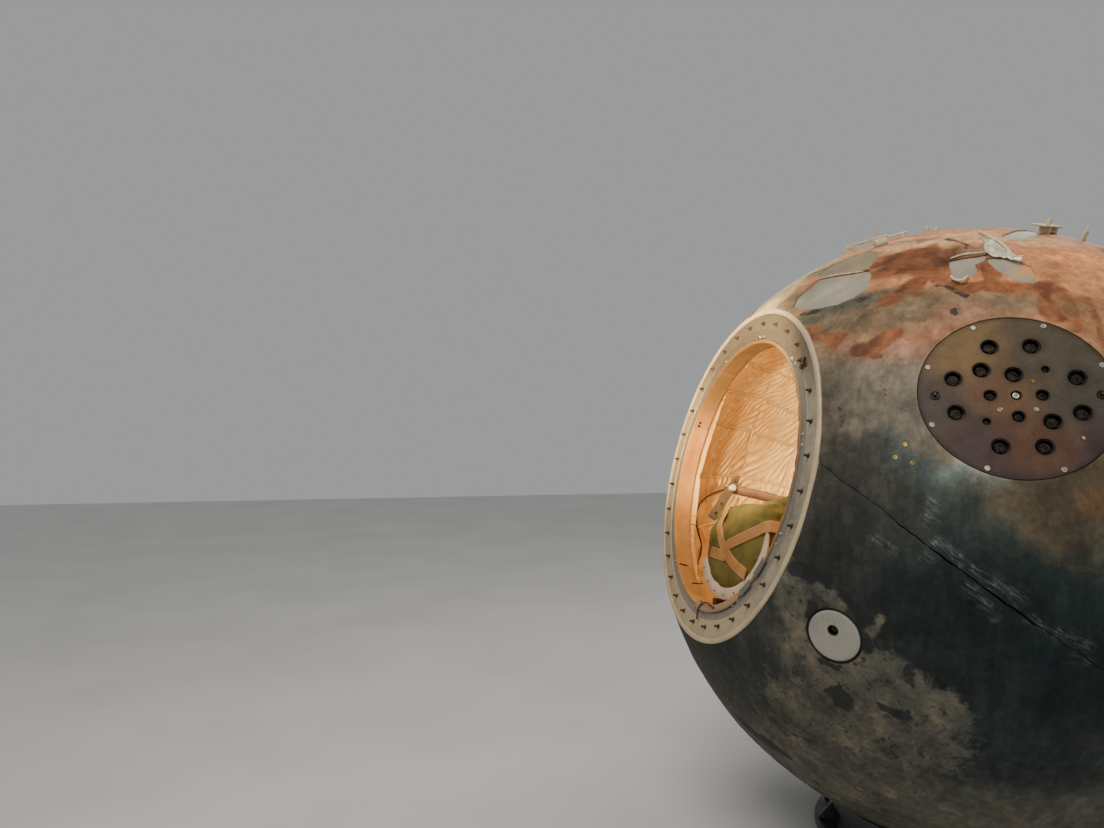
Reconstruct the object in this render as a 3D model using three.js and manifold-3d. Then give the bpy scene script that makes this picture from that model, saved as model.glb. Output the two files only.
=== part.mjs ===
// Spherical crewed descent capsule, open at its large hatch, on a low display cradle.
// Millimetres, +Z up. The origin is on the floor under the sphere's centre; the hatch faces -Y
// and looks up by HATCH_TILT, and the connector plate is on the +X side.
import * as THREE from "three";
import { mergeVertices } from "three/addons/utils/BufferGeometryUtils.js";
import Module from "manifold-3d";

const wasm = await Module();
wasm.setup();

// Sphere: radii of the wall's layers, from the charred outside to the lining's inside.
const CENTRE_HEIGHT = 1220;
const SHIELD_OUTER = 1150;
const SHIELD_INNER = 1080;
const HULL_INNER = 1062;
const LINING_INNER = 1030;
const GAP = 0.3;
const OUTSIDE_FACETS = { around: 40, rows: 20 };
const HIDDEN_FACETS = { around: 24, rows: 12 };
const LINING_FACETS = { around: 32, rows: 16 };

// The shield's two halves meet in a plane through the centre; this is its normal.
const SEAM_NORMAL = new THREE.Vector3(0.352, 0.475, 0.807).normalize();
const SEAM_GAP = 1;

// Hatch: distances along its axis from the sphere's centre, and radii about that axis.
const HATCH_TILT = 13.36;
const HATCH_OUTER = 628;
const HATCH_CLEAR = 497;
const FLANGE_FACE = 963;
const FLANGE_THICK = 6;
const RIM_WIDTH = 16;
const RIM_PROUD = 4;
const LIP_WIDTH = 15;
const HATCH_SIDES = 40;

// Connector plate on the right of the hatch, with rings of round sockets.
const PLATE = { azimuth: 62.81, elevation: 26.17, radius: 256, face: 1119, thick: 25 };
const SOCKET_DEPTH = 3.5;
const SOCKET_RADIUS = { big: 25, medium: 18, small: 11 };
// Each row: ring radius, angle in degrees, socket size.
const SOCKETS = [
  [66, 0, "medium"],
  [66, 90, "big"],
  [66, 180, "medium"],
  [66, 270, "medium"],
  [116, 45, "small"],
  [116, 135, "big"],
  [116, 225, "small"],
  [116, 315, "big"],
];
const OUTER_SOCKETS = { ring: 167, halfAngle: 19 };
const PIN = { radius: 9, well: 16 };

// Small side port, low between the hatch and the connector plate.
const SIDE_PORT = { azimuth: 37.16, elevation: -10.84, radius: 78, face: 1146, thick: 44 };
const SIDE_PORT_HOLE = { radius: 17, up: 18, depth: 3.5 };

// Round covers and windows on the far side. Each row: name, azimuth, elevation, radius.
const COVERS = [
  ["parachute_hatch_cover", 176, 40, 310],
  ["equipment_hatch_cover", -112, -24, 360],
];
const WINDOWS = [
  ["rear_window", 150, -22, 110],
  ["left_window", -138, 38, 110],
];
const WINDOW_FRAME = { width: 32, outer: 1144, inner: 1026 };
const WINDOW_GLASS = { outer: 1118, inner: 1096 };

// Seat, in its own frame: the hatch frame rolled about the hatch axis. x goes across the seat,
// y from its back to the sitter's front, z along its guide rails towards the hatch.
const SEAT_ROLL = 14;
const TROUGH = { half: 250, bottom: -430, sideTop: -130, roundFrom: -230, wall: 12 };
const TROUGH_RIM = { width: 35, thick: 10, taper: 0.4 };
const SEAT_TOP_END = 915;
const SEAT_LOW_END = -215;
const PACK = { end: 897, start: 545, top: -100 };
const PAN = { top: 330, thick: 15, half: 215 };
const ARM = { x: -246, y: 4, radius: 17, front: 836, rear: 300, post: 330 };
const STRUT = { half: 9, foot: 902, head: 811, top: 62 };
const RAIL = { x: 150, width: 30, top: -450, bottom: -480 };
const SHOE = { half: 26, length: 70, places: [-150, 350], clearance: 0.6 };

// Cable on the cabin lining: route in the hatch frame, from its upper to its lower clip.
const CABLE_RADIUS = 4;
const CABLE_ROUTE = [
  [-806, -60, 617],
  [-742, -86, 689],
  [-655, -123, 768],
  [-570, -162, 824],
  [-530, -198, 843],
  [-534, -234, 832],
  [-564, -283, 797],
  [-580, -329, 768],
  [-545, -369, 777],
  [-460, -392, 819],
];
const CABLE_CLIP = { radius: 11, depth: 16 };

// Cradle under the sphere.
const CRADLE = { seat: 430, width: 60, base: 520, baseThick: 16, wallThick: 14, pad: 14 };

const radians = THREE.MathUtils.degToRad;

function solidOf(geometry) {
  const bare = geometry.index ? geometry : geometry.clone();
  bare.deleteAttribute("normal");
  bare.deleteAttribute("uv");
  const merged = mergeVertices(bare, 1e-3);
  const position = merged.attributes.position;
  const index = merged.index.array;
  const corners = [];
  for (let i = 0; i < index.length; i += 3) {
    const [a, b, c] = [index[i], index[i + 1], index[i + 2]];
    if (a !== b && b !== c && c !== a) corners.push(a, b, c);
  }
  const volume = signedVolume(position, corners);
  if (volume < 0) {
    for (let i = 0; i < corners.length; i += 3) {
      [corners[i + 1], corners[i + 2]] = [corners[i + 2], corners[i + 1]];
    }
  }
  return new wasm.Manifold(
    new wasm.Mesh({
      numProp: 3,
      vertProperties: new Float32Array(position.array),
      triVerts: new Uint32Array(corners),
    }),
  );
}

function signedVolume(position, corners) {
  const [a, b, c] = [new THREE.Vector3(), new THREE.Vector3(), new THREE.Vector3()];
  let total = 0;
  for (let i = 0; i < corners.length; i += 3) {
    a.fromBufferAttribute(position, corners[i]);
    b.fromBufferAttribute(position, corners[i + 1]);
    c.fromBufferAttribute(position, corners[i + 2]);
    total += a.dot(b.cross(c)) / 6;
  }
  return total;
}

function geometryOf(solid) {
  const mesh = solid.getMesh();
  const geometry = new THREE.BufferGeometry();
  geometry.setAttribute("position", new THREE.BufferAttribute(mesh.vertProperties, 3));
  geometry.setIndex(new THREE.BufferAttribute(mesh.triVerts, 1));
  geometry.computeVertexNormals();
  return geometry;
}

// Turned solid about Z from [radius, z] points; a ring's profile is closed here.
function turned(points, around, placed) {
  const onAxis = points[0][0] === 0 && points[points.length - 1][0] === 0;
  const profile = onAxis ? points : [...points, points[0]];
  const geometry = new THREE.LatheGeometry(
    profile.map(([r, z]) => new THREE.Vector2(r, z)),
    around,
  );
  geometry.rotateX(Math.PI / 2);
  if (placed) geometry.applyMatrix4(placed);
  return solidOf(geometry);
}

function disc(radius, low, high, around, placed) {
  return turned([[0, low], [radius, low], [radius, high], [0, high]], around, placed);
}

function ring(inner, outer, low, high, around, placed) {
  return turned([[inner, low], [outer, low], [outer, high], [inner, high]], around, placed);
}

function box(from, to, placed) {
  const size = to.map((value, i) => value - from[i]);
  const geometry = new THREE.BoxGeometry(...size);
  geometry.translate(...from.map((value, i) => value + size[i] / 2));
  if (placed) geometry.applyMatrix4(placed);
  return solidOf(geometry);
}

// Prism of an [x, y] outline from low to high along z.
function prism(outline, low, high, placed) {
  const shape = new THREE.Shape(outline.map(([x, y]) => new THREE.Vector2(x, y)));
  const geometry = new THREE.ExtrudeGeometry(shape, { depth: high - low, bevelEnabled: false });
  geometry.translate(0, 0, low);
  if (placed) geometry.applyMatrix4(placed);
  return solidOf(geometry);
}

function roundBar(from, to, radius, sides, placed) {
  const start = new THREE.Vector3(...from);
  const end = new THREE.Vector3(...to);
  const geometry = new THREE.CylinderGeometry(radius, radius, start.distanceTo(end), sides);
  const turn = new THREE.Quaternion().setFromUnitVectors(
    new THREE.Vector3(0, 1, 0),
    end.clone().sub(start).normalize(),
  );
  geometry.applyQuaternion(turn);
  geometry.translate(...start.add(end).multiplyScalar(0.5).toArray());
  if (placed) geometry.applyMatrix4(placed);
  return solidOf(geometry);
}

function joined(solids) {
  return solids.reduce((whole, piece) => whole.add(piece));
}

// Frames: the hatch frame, and a frame on the sphere with z outward, x east and y up.
const hatchFrame = new THREE.Matrix4().makeRotationX(radians(90 - HATCH_TILT));

function surfaceFrame(azimuth, elevation, twist = 0) {
  const [az, el] = [radians(azimuth), radians(elevation)];
  const out = new THREE.Vector3(
    Math.sin(az) * Math.cos(el),
    -Math.cos(az) * Math.cos(el),
    Math.sin(el),
  );
  const east = new THREE.Vector3(Math.cos(az), Math.sin(az), 0);
  const north = new THREE.Vector3().crossVectors(out, east);
  const frame = new THREE.Matrix4().makeBasis(east, north, out);
  return frame.multiply(new THREE.Matrix4().makeRotationZ(radians(twist)));
}

function ball(radius, facets) {
  const points = [];
  for (let i = 0; i <= facets.rows; i++) {
    const angle = (Math.PI * i) / facets.rows;
    const onAxis = i === 0 || i === facets.rows;
    points.push([onAxis ? 0 : radius * Math.sin(angle), radius * Math.cos(angle)]);
  }
  return turned(points, facets.around, hatchFrame);
}

const floorFrame = new THREE.Matrix4().makeTranslation(0, 0, -CENTRE_HEIGHT);
const outerBall = ball(SHIELD_OUTER, OUTSIDE_FACETS);
const seatingBall = ball(SHIELD_OUTER + GAP, OUTSIDE_FACETS);
const shieldInnerBall = ball(SHIELD_INNER, HIDDEN_FACETS);
const hullOuterBall = ball(SHIELD_INNER - GAP, HIDDEN_FACETS);
const hullInnerBall = ball(HULL_INNER, HIDDEN_FACETS);
const liningOuterBall = ball(HULL_INNER - GAP, HIDDEN_FACETS);
const liningInnerBall = ball(LINING_INNER, LINING_FACETS);
const cabinBall = ball(LINING_INNER - GAP, LINING_FACETS);

// Materials
function finish(color, roughness, metalness) {
  return new THREE.MeshStandardMaterial({ color, roughness, metalness });
}
const material = {
  char: finish(0x4f5250, 0.95, 0.05),
  flange: finish(0x9a8f78, 0.7, 0.2),
  cream: finish(0xd8c39a, 0.6, 0.1),
  hull: finish(0x8c8f90, 0.5, 0.8),
  lining: finish(0xe8c68c, 0.9, 0),
  burnt: finish(0x54443f, 0.55, 0.7),
  port: finish(0xb4b2a8, 0.7, 0.2),
  olive: finish(0x6f6a3c, 0.95, 0),
  grey: finish(0x6c655c, 0.6, 0.4),
  dark: finish(0x23262a, 0.7, 0.3),
  rubber: finish(0x1c1c1c, 0.9, 0),
  glass: finish(0x9fb4bc, 0.1, 0),
};

const capsule = new THREE.Group();
capsule.position.set(0, 0, CENTRE_HEIGHT);

function addPiece(name, solid, look) {
  const mesh = new THREE.Mesh(geometryOf(solid), look);
  mesh.name = name;
  capsule.add(mesh);
}

// Heat shield, hull and lining
function coverWell(radius, frame) {
  return disc(radius + GAP, 900, 1300, 32, frame);
}

function wallHoles() {
  const wells = COVERS.map(([, azimuth, elevation, radius]) =>
    coverWell(radius, surfaceFrame(azimuth, elevation)),
  );
  const plateFloor = PLATE.face - PLATE.thick - GAP;
  const portFloor = SIDE_PORT.face - SIDE_PORT.thick - GAP;
  wells.push(
    disc(HATCH_OUTER + GAP, 0, 1300, HATCH_SIDES, hatchFrame),
    disc(PLATE.radius + GAP, plateFloor, 1200, 40, surfaceFrame(PLATE.azimuth, PLATE.elevation)),
    disc(
      SIDE_PORT.radius + GAP,
      portFloor,
      1200,
      32,
      surfaceFrame(SIDE_PORT.azimuth, SIDE_PORT.elevation),
    ),
    ...windowBores(),
  );
  return joined(wells);
}

function windowBores() {
  return WINDOWS.map(([, azimuth, elevation, radius]) =>
    disc(radius + WINDOW_FRAME.width + GAP, 900, 1200, 28, surfaceFrame(azimuth, elevation)),
  );
}

function halfSpace(side) {
  const turn = new THREE.Quaternion().setFromUnitVectors(new THREE.Vector3(0, 0, 1), SEAM_NORMAL);
  const placed = new THREE.Matrix4().makeRotationFromQuaternion(turn);
  const size = 1300;
  const low = side > 0 ? SEAM_GAP / 2 : -size;
  const high = side > 0 ? size : -SEAM_GAP / 2;
  return box([-size, -size, low], [size, size, high], placed);
}

function addWall() {
  const shield = outerBall.subtract(shieldInnerBall).subtract(wallHoles());
  addPiece("heat_shield_upper", shield.intersect(halfSpace(1)), material.char);
  addPiece("heat_shield_lower", shield.intersect(halfSpace(-1)), material.char);
  const hatchBore = disc(HATCH_OUTER + GAP, 0, 1300, HATCH_SIDES, hatchFrame);
  const hull = hullOuterBall
    .subtract(hullInnerBall)
    .subtract(hatchBore)
    .subtract(joined(windowBores()));
  addPiece("pressure_hull", hull, material.hull);
  const liningBore = disc(HATCH_CLEAR + LIP_WIDTH + GAP, 0, 1300, HATCH_SIDES, hatchFrame);
  const lining = liningOuterBall
    .subtract(liningInnerBall)
    .subtract(liningBore)
    .subtract(joined(windowBores()));
  const edge = 1200;
  const upper = box([-edge, -edge, GAP], [edge, edge, edge]);
  const lower = box([-edge, -edge, -edge], [edge, edge, -GAP]);
  addPiece("cabin_lining_upper", lining.intersect(upper), material.lining);
  addPiece("cabin_lining_lower", lining.intersect(lower), material.lining);
}

function addHatch() {
  const bore = HATCH_CLEAR + LIP_WIDTH;
  const ledge = FLANGE_FACE - FLANGE_THICK - GAP;
  const rim = HATCH_OUTER - RIM_WIDTH;
  const frame = turned(
    [
      [bore + GAP, 933],
      [565, 903],
      [HATCH_OUTER, 860],
      [HATCH_OUTER, FLANGE_FACE + RIM_PROUD],
      [rim, FLANGE_FACE + RIM_PROUD],
      [rim, ledge],
      [bore + GAP, ledge],
    ],
    HATCH_SIDES,
    hatchFrame,
  );
  addPiece("hatch_frame", frame, material.cream);
  const flange = ring(bore + 2, rim - GAP, ledge + GAP, FLANGE_FACE, HATCH_SIDES, hatchFrame);
  addPiece("hatch_flange", flange, material.flange);
  const lip = turned(
    [
      [HATCH_CLEAR, 902],
      [HATCH_CLEAR + 4, 896],
      [bore, 896],
      [bore, FLANGE_FACE + 1],
      [bore - 4, FLANGE_FACE + 4],
      [HATCH_CLEAR + 4, FLANGE_FACE + 4],
      [HATCH_CLEAR, FLANGE_FACE],
    ],
    HATCH_SIDES,
    hatchFrame,
  );
  addPiece("hatch_lip", lip, material.lining);
}

function addConnectorPlate() {
  const frame = surfaceFrame(PLATE.azimuth, PLATE.elevation);
  const holes = SOCKETS.map(([radius, angle, size]) => [radius, angle, SOCKET_RADIUS[size]]);
  for (let quarter = 0; quarter < 360; quarter += 90) {
    for (const side of [-1, 1]) {
      const angle = quarter + side * OUTER_SOCKETS.halfAngle;
      holes.push([OUTER_SOCKETS.ring, angle, SOCKET_RADIUS.big]);
    }
  }
  holes.push([0, 0, PIN.well]);
  let plate = disc(PLATE.radius, PLATE.face - PLATE.thick, PLATE.face, 40, frame);
  for (const [radius, angle, size] of holes) {
    const hole = disc(size, PLATE.face - SOCKET_DEPTH, PLATE.face + 10, 14);
    const x = radius * Math.cos(radians(angle));
    const y = radius * Math.sin(radians(angle));
    const placed = frame.clone().multiply(new THREE.Matrix4().makeTranslation(x, y, 0));
    plate = plate.subtract(hole.transform(placed.elements));
  }
  const pin = disc(PIN.radius, PLATE.face - PLATE.thick / 2, PLATE.face - 1, 14, frame);
  addPiece("connector_plate", plate.add(pin), material.burnt);
}

function addSidePort() {
  const frame = surfaceFrame(SIDE_PORT.azimuth, SIDE_PORT.elevation);
  const plug = disc(SIDE_PORT.radius, SIDE_PORT.face - SIDE_PORT.thick, SIDE_PORT.face, 32, frame);
  const shifted = new THREE.Matrix4().makeTranslation(0, SIDE_PORT_HOLE.up, 0);
  const hole = disc(
    SIDE_PORT_HOLE.radius,
    SIDE_PORT.face - SIDE_PORT_HOLE.depth,
    1200,
    16,
    frame.clone().multiply(shifted),
  );
  addPiece("side_port_plug", plug.subtract(hole), material.port);
}

function addCovers() {
  for (const [name, azimuth, elevation, radius] of COVERS) {
    const cylinder = disc(radius, 900, 1300, 32, surfaceFrame(azimuth, elevation));
    const shell = outerBall.subtract(shieldInnerBall);
    addPiece(name, shell.intersect(cylinder), material.char);
  }
}

function addWindows() {
  for (const [name, azimuth, elevation, radius] of WINDOWS) {
    const frame = surfaceFrame(azimuth, elevation);
    const outer = radius + WINDOW_FRAME.width;
    const { outer: high, inner: low } = WINDOW_FRAME;
    addPiece(name + "_frame", ring(radius, outer, low, high, 28, frame), material.hull);
    const pane = disc(radius - GAP, WINDOW_GLASS.inner, WINDOW_GLASS.outer, 28, frame);
    addPiece(name + "_glass", pane, material.glass);
  }
}

// Crown fittings: each is cut from below by the sphere that it stands on.
function seated(solid) {
  return solid.subtract(seatingBall);
}

function addCrownFittings() {
  const left = surfaceFrame(14, 70.5, 40);
  const top = SHIELD_OUTER;
  const bar = joined([
    box([-95, -12, top + 24], [100, 6, top + 36], left),
    box([-12, -14, top - 40], [12, 14, top + 60], left),
    box([72, -12, top - 40], [92, 10, top + 36], left),
  ]);
  addPiece("crown_bar", seated(bar), material.cream);
  const leftEnd = surfaceFrame(1, 67.6, 40);
  const catchBlock = box([-22, -20, top - 40], [22, 20, top + 26], leftEnd);
  addPiece("crown_catch", seated(catchBlock), material.cream);
  const drum = roundBar([-22, 0, top + 10], [22, 0, top + 10], 15, 16, surfaceFrame(22, 67, 60));
  addPiece("crown_drum", seated(drum), material.cream);
  const posts = [
    ["crown_post_front", 35.3, 76.2, 11, 24],
    ["crown_post_rear", 42, 76.6, 8, 14],
  ];
  for (const [name, azimuth, elevation, radius, height] of posts) {
    const post = disc(radius, top - 30, top + height, 14, surfaceFrame(azimuth, elevation));
    addPiece(name, seated(post), material.cream);
  }
  const right = surfaceFrame(101, 69.6, 20);
  const bracket = joined([
    prism([[-95, -24], [80, -24], [80, 24], [-60, 24]], top - 20, top + 12, right),
    box([-14, -12, top], [14, 12, top + 48], right),
    box([48, -10, top], [62, 10, top + 38], right),
  ]);
  addPiece("crown_bracket", seated(bracket), material.cream);
  const tabFrame = surfaceFrame(110, 64.9, 20);
  const tab = box([-30, -5, top - 30], [30, 5, top + 34], tabFrame);
  addPiece("crown_tab", seated(tab), material.cream);
}

// Seat, its guide rails and what it carries
const seatFrame = hatchFrame.clone().multiply(
  new THREE.Matrix4().makeRotationZ(radians(SEAT_ROLL)),
);

// U outline of the seat's trough: straight sides, and a half ellipse under them.
function troughOutline(half, bottom, sideTop) {
  const steps = 10;
  const points = [[-half, sideTop]];
  for (let i = 0; i <= steps; i++) {
    const angle = Math.PI * (1 + i / steps);
    const depth = TROUGH.roundFrom - bottom;
    points.push([half * Math.cos(angle), TROUGH.roundFrom + depth * Math.sin(angle)]);
  }
  points.push([half, sideTop]);
  return points;
}

// Outline of the flared rim at the trough's front edge. It is widest round the bottom and runs
// out to a point at each side, where the straight walls begin.
function rimOutline() {
  const { half, bottom, roundFrom, wall } = TROUGH;
  const steps = 20;
  const points = [[wall / 2 - half, roundFrom]];
  for (let i = 0; i <= steps; i++) {
    const angle = Math.PI * (1 + i / steps);
    const flare = TROUGH_RIM.width * Math.min(1, -Math.sin(angle) / TROUGH_RIM.taper);
    const depth = roundFrom - bottom + flare;
    points.push([(half + flare) * Math.cos(angle), roundFrom + depth * Math.sin(angle)]);
  }
  points.push([half - wall / 2, roundFrom]);
  return points;
}

function addSeatShell() {
  const { half, bottom, sideTop, wall } = TROUGH;
  const outside = troughOutline(half, bottom, sideTop);
  const inside = troughOutline(half - wall, bottom + wall, 200);
  const barrel = prism(outside, SEAT_LOW_END + GAP, SEAT_TOP_END, seatFrame);
  const rim = prism(rimOutline(), SEAT_TOP_END - TROUGH_RIM.thick, SEAT_TOP_END, seatFrame);
  let shell = barrel.add(rim);
  const shoeBottom = RAIL.top + SHOE.clearance;
  for (const x of [-RAIL.x, RAIL.x]) {
    for (const z of SHOE.places) {
      const from = [x - SHOE.half, shoeBottom, z];
      shell = shell.add(box(from, [x + SHOE.half, -340, z + SHOE.length], seatFrame));
    }
  }
  addPiece("seat_shell", shell.subtract(prism(inside, -600, 1000, seatFrame)), material.cream);
}

function addSeatPadding() {
  const inset = TROUGH.wall + GAP;
  const half = TROUGH.half - inset;
  const bottom = TROUGH.bottom + inset;
  const fill = troughOutline(half, bottom, PACK.top - 10);
  addPiece("seat_container", prism(fill, SEAT_LOW_END + 1, PACK.start, seatFrame), material.grey);
  const pack = troughOutline(half, bottom, PACK.top);
  addPiece("parachute_pack", prism(pack, PACK.start + GAP, PACK.end, seatFrame), material.olive);
  const padTop = SEAT_LOW_END + 65;
  // Each row: name, lowest corner, highest corner.
  const pads = [
    ["back_cushion", [-210, PACK.top - 10 + GAP, padTop + 5], [210, -55, PACK.start]],
    ["headrest", [-130, PACK.top + GAP, 560], [130, -50, 770]],
    ["seat_cushion", [-205, -54, SEAT_LOW_END + GAP], [205, PAN.top - 10, padTop]],
    ["leg_cushion", [-165, 318 + GAP, -560], [165, 358, -252]],
  ];
  for (const [name, from, to] of pads) {
    addPiece(name, box(from, to, seatFrame), material.olive);
  }
}

function addSeatPan() {
  const low = SEAT_LOW_END - PAN.thick;
  const outline = troughOutline(TROUGH.half, TROUGH.bottom, TROUGH.sideTop);
  outline.push([PAN.half, -90], [PAN.half, PAN.top], [-PAN.half, PAN.top], [-PAN.half, -90]);
  addPiece("seat_pan", prism(outline, low, SEAT_LOW_END, seatFrame), material.cream);
  const legs = box([-180, 300, -580], [180, 318, low - GAP], seatFrame);
  addPiece("leg_rest", legs, material.cream);
  addPiece("foot_rest", box([-170, 300, -595], [170, 440, -580 - GAP], seatFrame), material.cream);
}

// Arm tube along the seat's left side. It stands on the trough's side wall: on a strut that leans
// at its front end, and on a post behind.
function addArm() {
  const foot = TROUGH.sideTop + GAP;
  const { x, y } = ARM;
  const [wallOut, wallIn] = [-TROUGH.half, TROUGH.wall - TROUGH.half];
  const tube = roundBar([x, y, ARM.rear], [x, y, ARM.front], ARM.radius, 14, seatFrame);
  const post = box([wallOut, foot, ARM.post], [wallIn, y, ARM.post + 22], seatFrame);
  const leaning = [
    [STRUT.foot + STRUT.half, foot],
    [STRUT.head + STRUT.half, STRUT.top],
    [STRUT.head - STRUT.half, STRUT.top],
    [STRUT.foot - STRUT.half, foot],
  ];
  // The strut's outline is drawn along the rails, so its prism is stood across the seat.
  const across = new THREE.Matrix4().makeBasis(
    new THREE.Vector3(0, 0, 1),
    new THREE.Vector3(0, 1, 0),
    new THREE.Vector3(-1, 0, 0),
  );
  const strut = prism(leaning, -wallIn, -wallOut, seatFrame.clone().multiply(across));
  addPiece("arm_left", joined([tube, strut, post]), material.grey);
}

function addRails() {
  for (const [name, x] of [["guide_rail_left", -RAIL.x], ["guide_rail_right", RAIL.x]]) {
    const half = RAIL.width / 2;
    const beam = box([x - half, RAIL.bottom, -1000], [x + half, RAIL.top, 1000], seatFrame);
    const lipKeepOut = disc(HATCH_OUTER, 895, 1300, HATCH_SIDES, hatchFrame);
    addPiece(name, beam.intersect(cabinBall).subtract(lipKeepOut), material.hull);
  }
}

// Cable that lies along the lining between two clips.
function addCable() {
  const points = CABLE_ROUTE.map((point) => new THREE.Vector3(...point));
  const route = new THREE.CatmullRomCurve3(points, false, "centripetal");
  const section = new THREE.Shape();
  const sides = 8;
  for (let i = 0; i < sides; i++) {
    const angle = (2 * Math.PI * i) / sides;
    const [x, y] = [CABLE_RADIUS * Math.cos(angle), CABLE_RADIUS * Math.sin(angle)];
    if (i === 0) section.moveTo(x, y);
    else section.lineTo(x, y);
  }
  section.closePath();
  const tube = new THREE.ExtrudeGeometry(section, { steps: 48, extrudePath: route });
  tube.applyMatrix4(hatchFrame);
  addPiece("cabin_cable", solidOf(tube), material.dark);
  const last = points.length - 1;
  const ends = [
    ["cable_clip_upper", points[0], points[1]],
    ["cable_clip_lower", points[last], points[last - 1]],
  ];
  for (const [name, end, next] of ends) {
    const along = next.clone().sub(end).normalize();
    const centre = end.clone().sub(along.multiplyScalar(CABLE_CLIP.radius + GAP));
    const out = centre.clone().normalize();
    const turn = new THREE.Quaternion().setFromUnitVectors(new THREE.Vector3(0, 0, 1), out);
    const placed = hatchFrame
      .clone()
      .multiply(new THREE.Matrix4().makeRotationFromQuaternion(turn));
    const low = centre.length() - CABLE_CLIP.depth / 2;
    const clip = disc(CABLE_CLIP.radius, low, LINING_INNER + 20, 12, placed);
    addPiece(name, clip.intersect(cabinBall), material.cream);
  }
}

// Cradle: floor disc, wall, seat ring and the pad that carries the sphere.
function sphereHeight(radius) {
  return CENTRE_HEIGHT - Math.sqrt(SHIELD_OUTER ** 2 - radius ** 2);
}

function addCradle() {
  const inner = CRADLE.seat - CRADLE.width / 2;
  const outer = CRADLE.seat + CRADLE.width / 2;
  const wallTop = sphereHeight(inner) - CRADLE.pad - 28;
  addPiece("cradle_base", disc(CRADLE.base, 0, CRADLE.baseThick, 48, floorFrame), material.dark);
  const wall = ring(
    CRADLE.seat - CRADLE.wallThick / 2,
    CRADLE.seat + CRADLE.wallThick / 2,
    CRADLE.baseThick + GAP,
    wallTop,
    48,
    floorFrame,
  );
  addPiece("cradle_wall", wall, material.dark);
  const under = CRADLE.pad + GAP;
  const seatRing = turned(
    [
      [inner, wallTop + GAP],
      [outer, wallTop + GAP],
      [outer, sphereHeight(outer) - under],
      [inner, sphereHeight(inner) - under],
    ],
    48,
    floorFrame,
  );
  addPiece("cradle_ring", seatRing, material.dark);
  const pad = turned(
    [
      [inner + 4, sphereHeight(inner + 4) - CRADLE.pad],
      [outer - 4, sphereHeight(outer - 4) - CRADLE.pad],
      [outer - 4, sphereHeight(outer - 4) + 12],
      [inner + 4, sphereHeight(inner + 4) + 12],
    ],
    48,
    floorFrame,
  );
  addPiece("cradle_pad", seated(pad), material.rubber);
}

addWall();
addHatch();
addConnectorPlate();
addSidePort();
addCovers();
addWindows();
addCrownFittings();
addSeatShell();
addSeatPadding();
addSeatPan();
addArm();
addRails();
addCable();
addCradle();

const part = new THREE.Group();
part.add(capsule);
export default part;
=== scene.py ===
"""Looks of the spherical descent capsule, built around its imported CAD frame."""

import math

import bmesh
import bpy
import numpy as np
from mathutils import Matrix, Vector
from mathutils.bvhtree import BVHTree


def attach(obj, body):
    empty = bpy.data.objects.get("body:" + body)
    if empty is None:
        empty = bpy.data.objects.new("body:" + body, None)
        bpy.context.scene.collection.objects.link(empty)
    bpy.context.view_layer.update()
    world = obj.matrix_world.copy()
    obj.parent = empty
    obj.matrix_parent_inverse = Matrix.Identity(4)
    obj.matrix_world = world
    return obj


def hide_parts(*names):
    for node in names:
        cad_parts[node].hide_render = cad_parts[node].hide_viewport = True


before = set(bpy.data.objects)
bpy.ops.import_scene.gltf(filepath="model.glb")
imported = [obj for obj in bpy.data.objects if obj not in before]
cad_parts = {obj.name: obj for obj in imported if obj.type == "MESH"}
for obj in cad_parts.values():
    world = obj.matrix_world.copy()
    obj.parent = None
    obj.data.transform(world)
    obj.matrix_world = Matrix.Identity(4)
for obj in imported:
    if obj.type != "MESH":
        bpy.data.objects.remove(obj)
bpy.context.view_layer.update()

# Sizes in metres, in the row frame: +Z up, the origin on the floor under the sphere's centre.
CENTRE = np.array([0.0, 0.0, 1.220])
SKIN = 1.150
SKIN_INNER = 1.080
LINING = 1.030
HATCH_TILT = 13.36
SEAT_ROLL = 14.0
HATCH_OUTER = 0.628
HATCH_CLEAR = 0.497
FLANGE_FACE = 0.963
PLATE_AT = (62.81, 26.17)
PLATE_RADIUS = 0.256
PLATE_FACE = 1.119
PORT_AT = (37.16, -10.84)
PORT_RADIUS = 0.078
PORT_FACE = 1.146
PORT_GAP = 0.009
SEAM_NORMAL = np.array([0.352, 0.475, 0.807])
SEAM_NORMAL /= np.linalg.norm(SEAM_NORMAL)
COVERS = {
    "parachute_hatch_cover": (176, 40, 0.310),
    "equipment_hatch_cover": (-112, -24, 0.360),
}
WINDOWS = {"rear_window": (150, -22), "left_window": (-138, 38)}
WINDOW_RADIUS = 0.110
WINDOW_OUTER = 0.142


# Camera: placed and turned as the photograph's was.
CAMERA_AT = np.array([2.961, -2.189, 1.661])
CAMERA_FORWARD = np.array([-0.9816, 0.1912, 0.0])
CAMERA_RIGHT = np.array([0.1912, 0.9816, 0.0])
PHOTO_WIDTH, PHOTO_HEIGHT = 1104, 828
FOCAL_PIXELS = 841.0
SENSOR = 36.0


def linked(name, data):
    """A new object in the scene."""
    obj = bpy.data.objects.new(name, data)
    bpy.context.scene.collection.objects.link(obj)
    return obj


def add_camera():
    data = bpy.data.cameras.new("camera")
    data.sensor_width = SENSOR
    data.lens = FOCAL_PIXELS / PHOTO_WIDTH * SENSOR
    camera = linked("camera", data)
    camera.location = CAMERA_AT
    camera.rotation_mode = "QUATERNION"
    camera.rotation_quaternion = Vector(CAMERA_FORWARD).to_track_quat("-Z", "Y")
    bpy.context.scene.camera = camera


def photo_ray(px, py):
    right = (px - PHOTO_WIDTH / 2) / FOCAL_PIXELS
    up = (PHOTO_HEIGHT / 2 - py) / FOCAL_PIXELS
    ray = CAMERA_FORWARD + right * CAMERA_RIGHT + np.array([0.0, 0.0, up])
    return ray / np.linalg.norm(ray)


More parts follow.
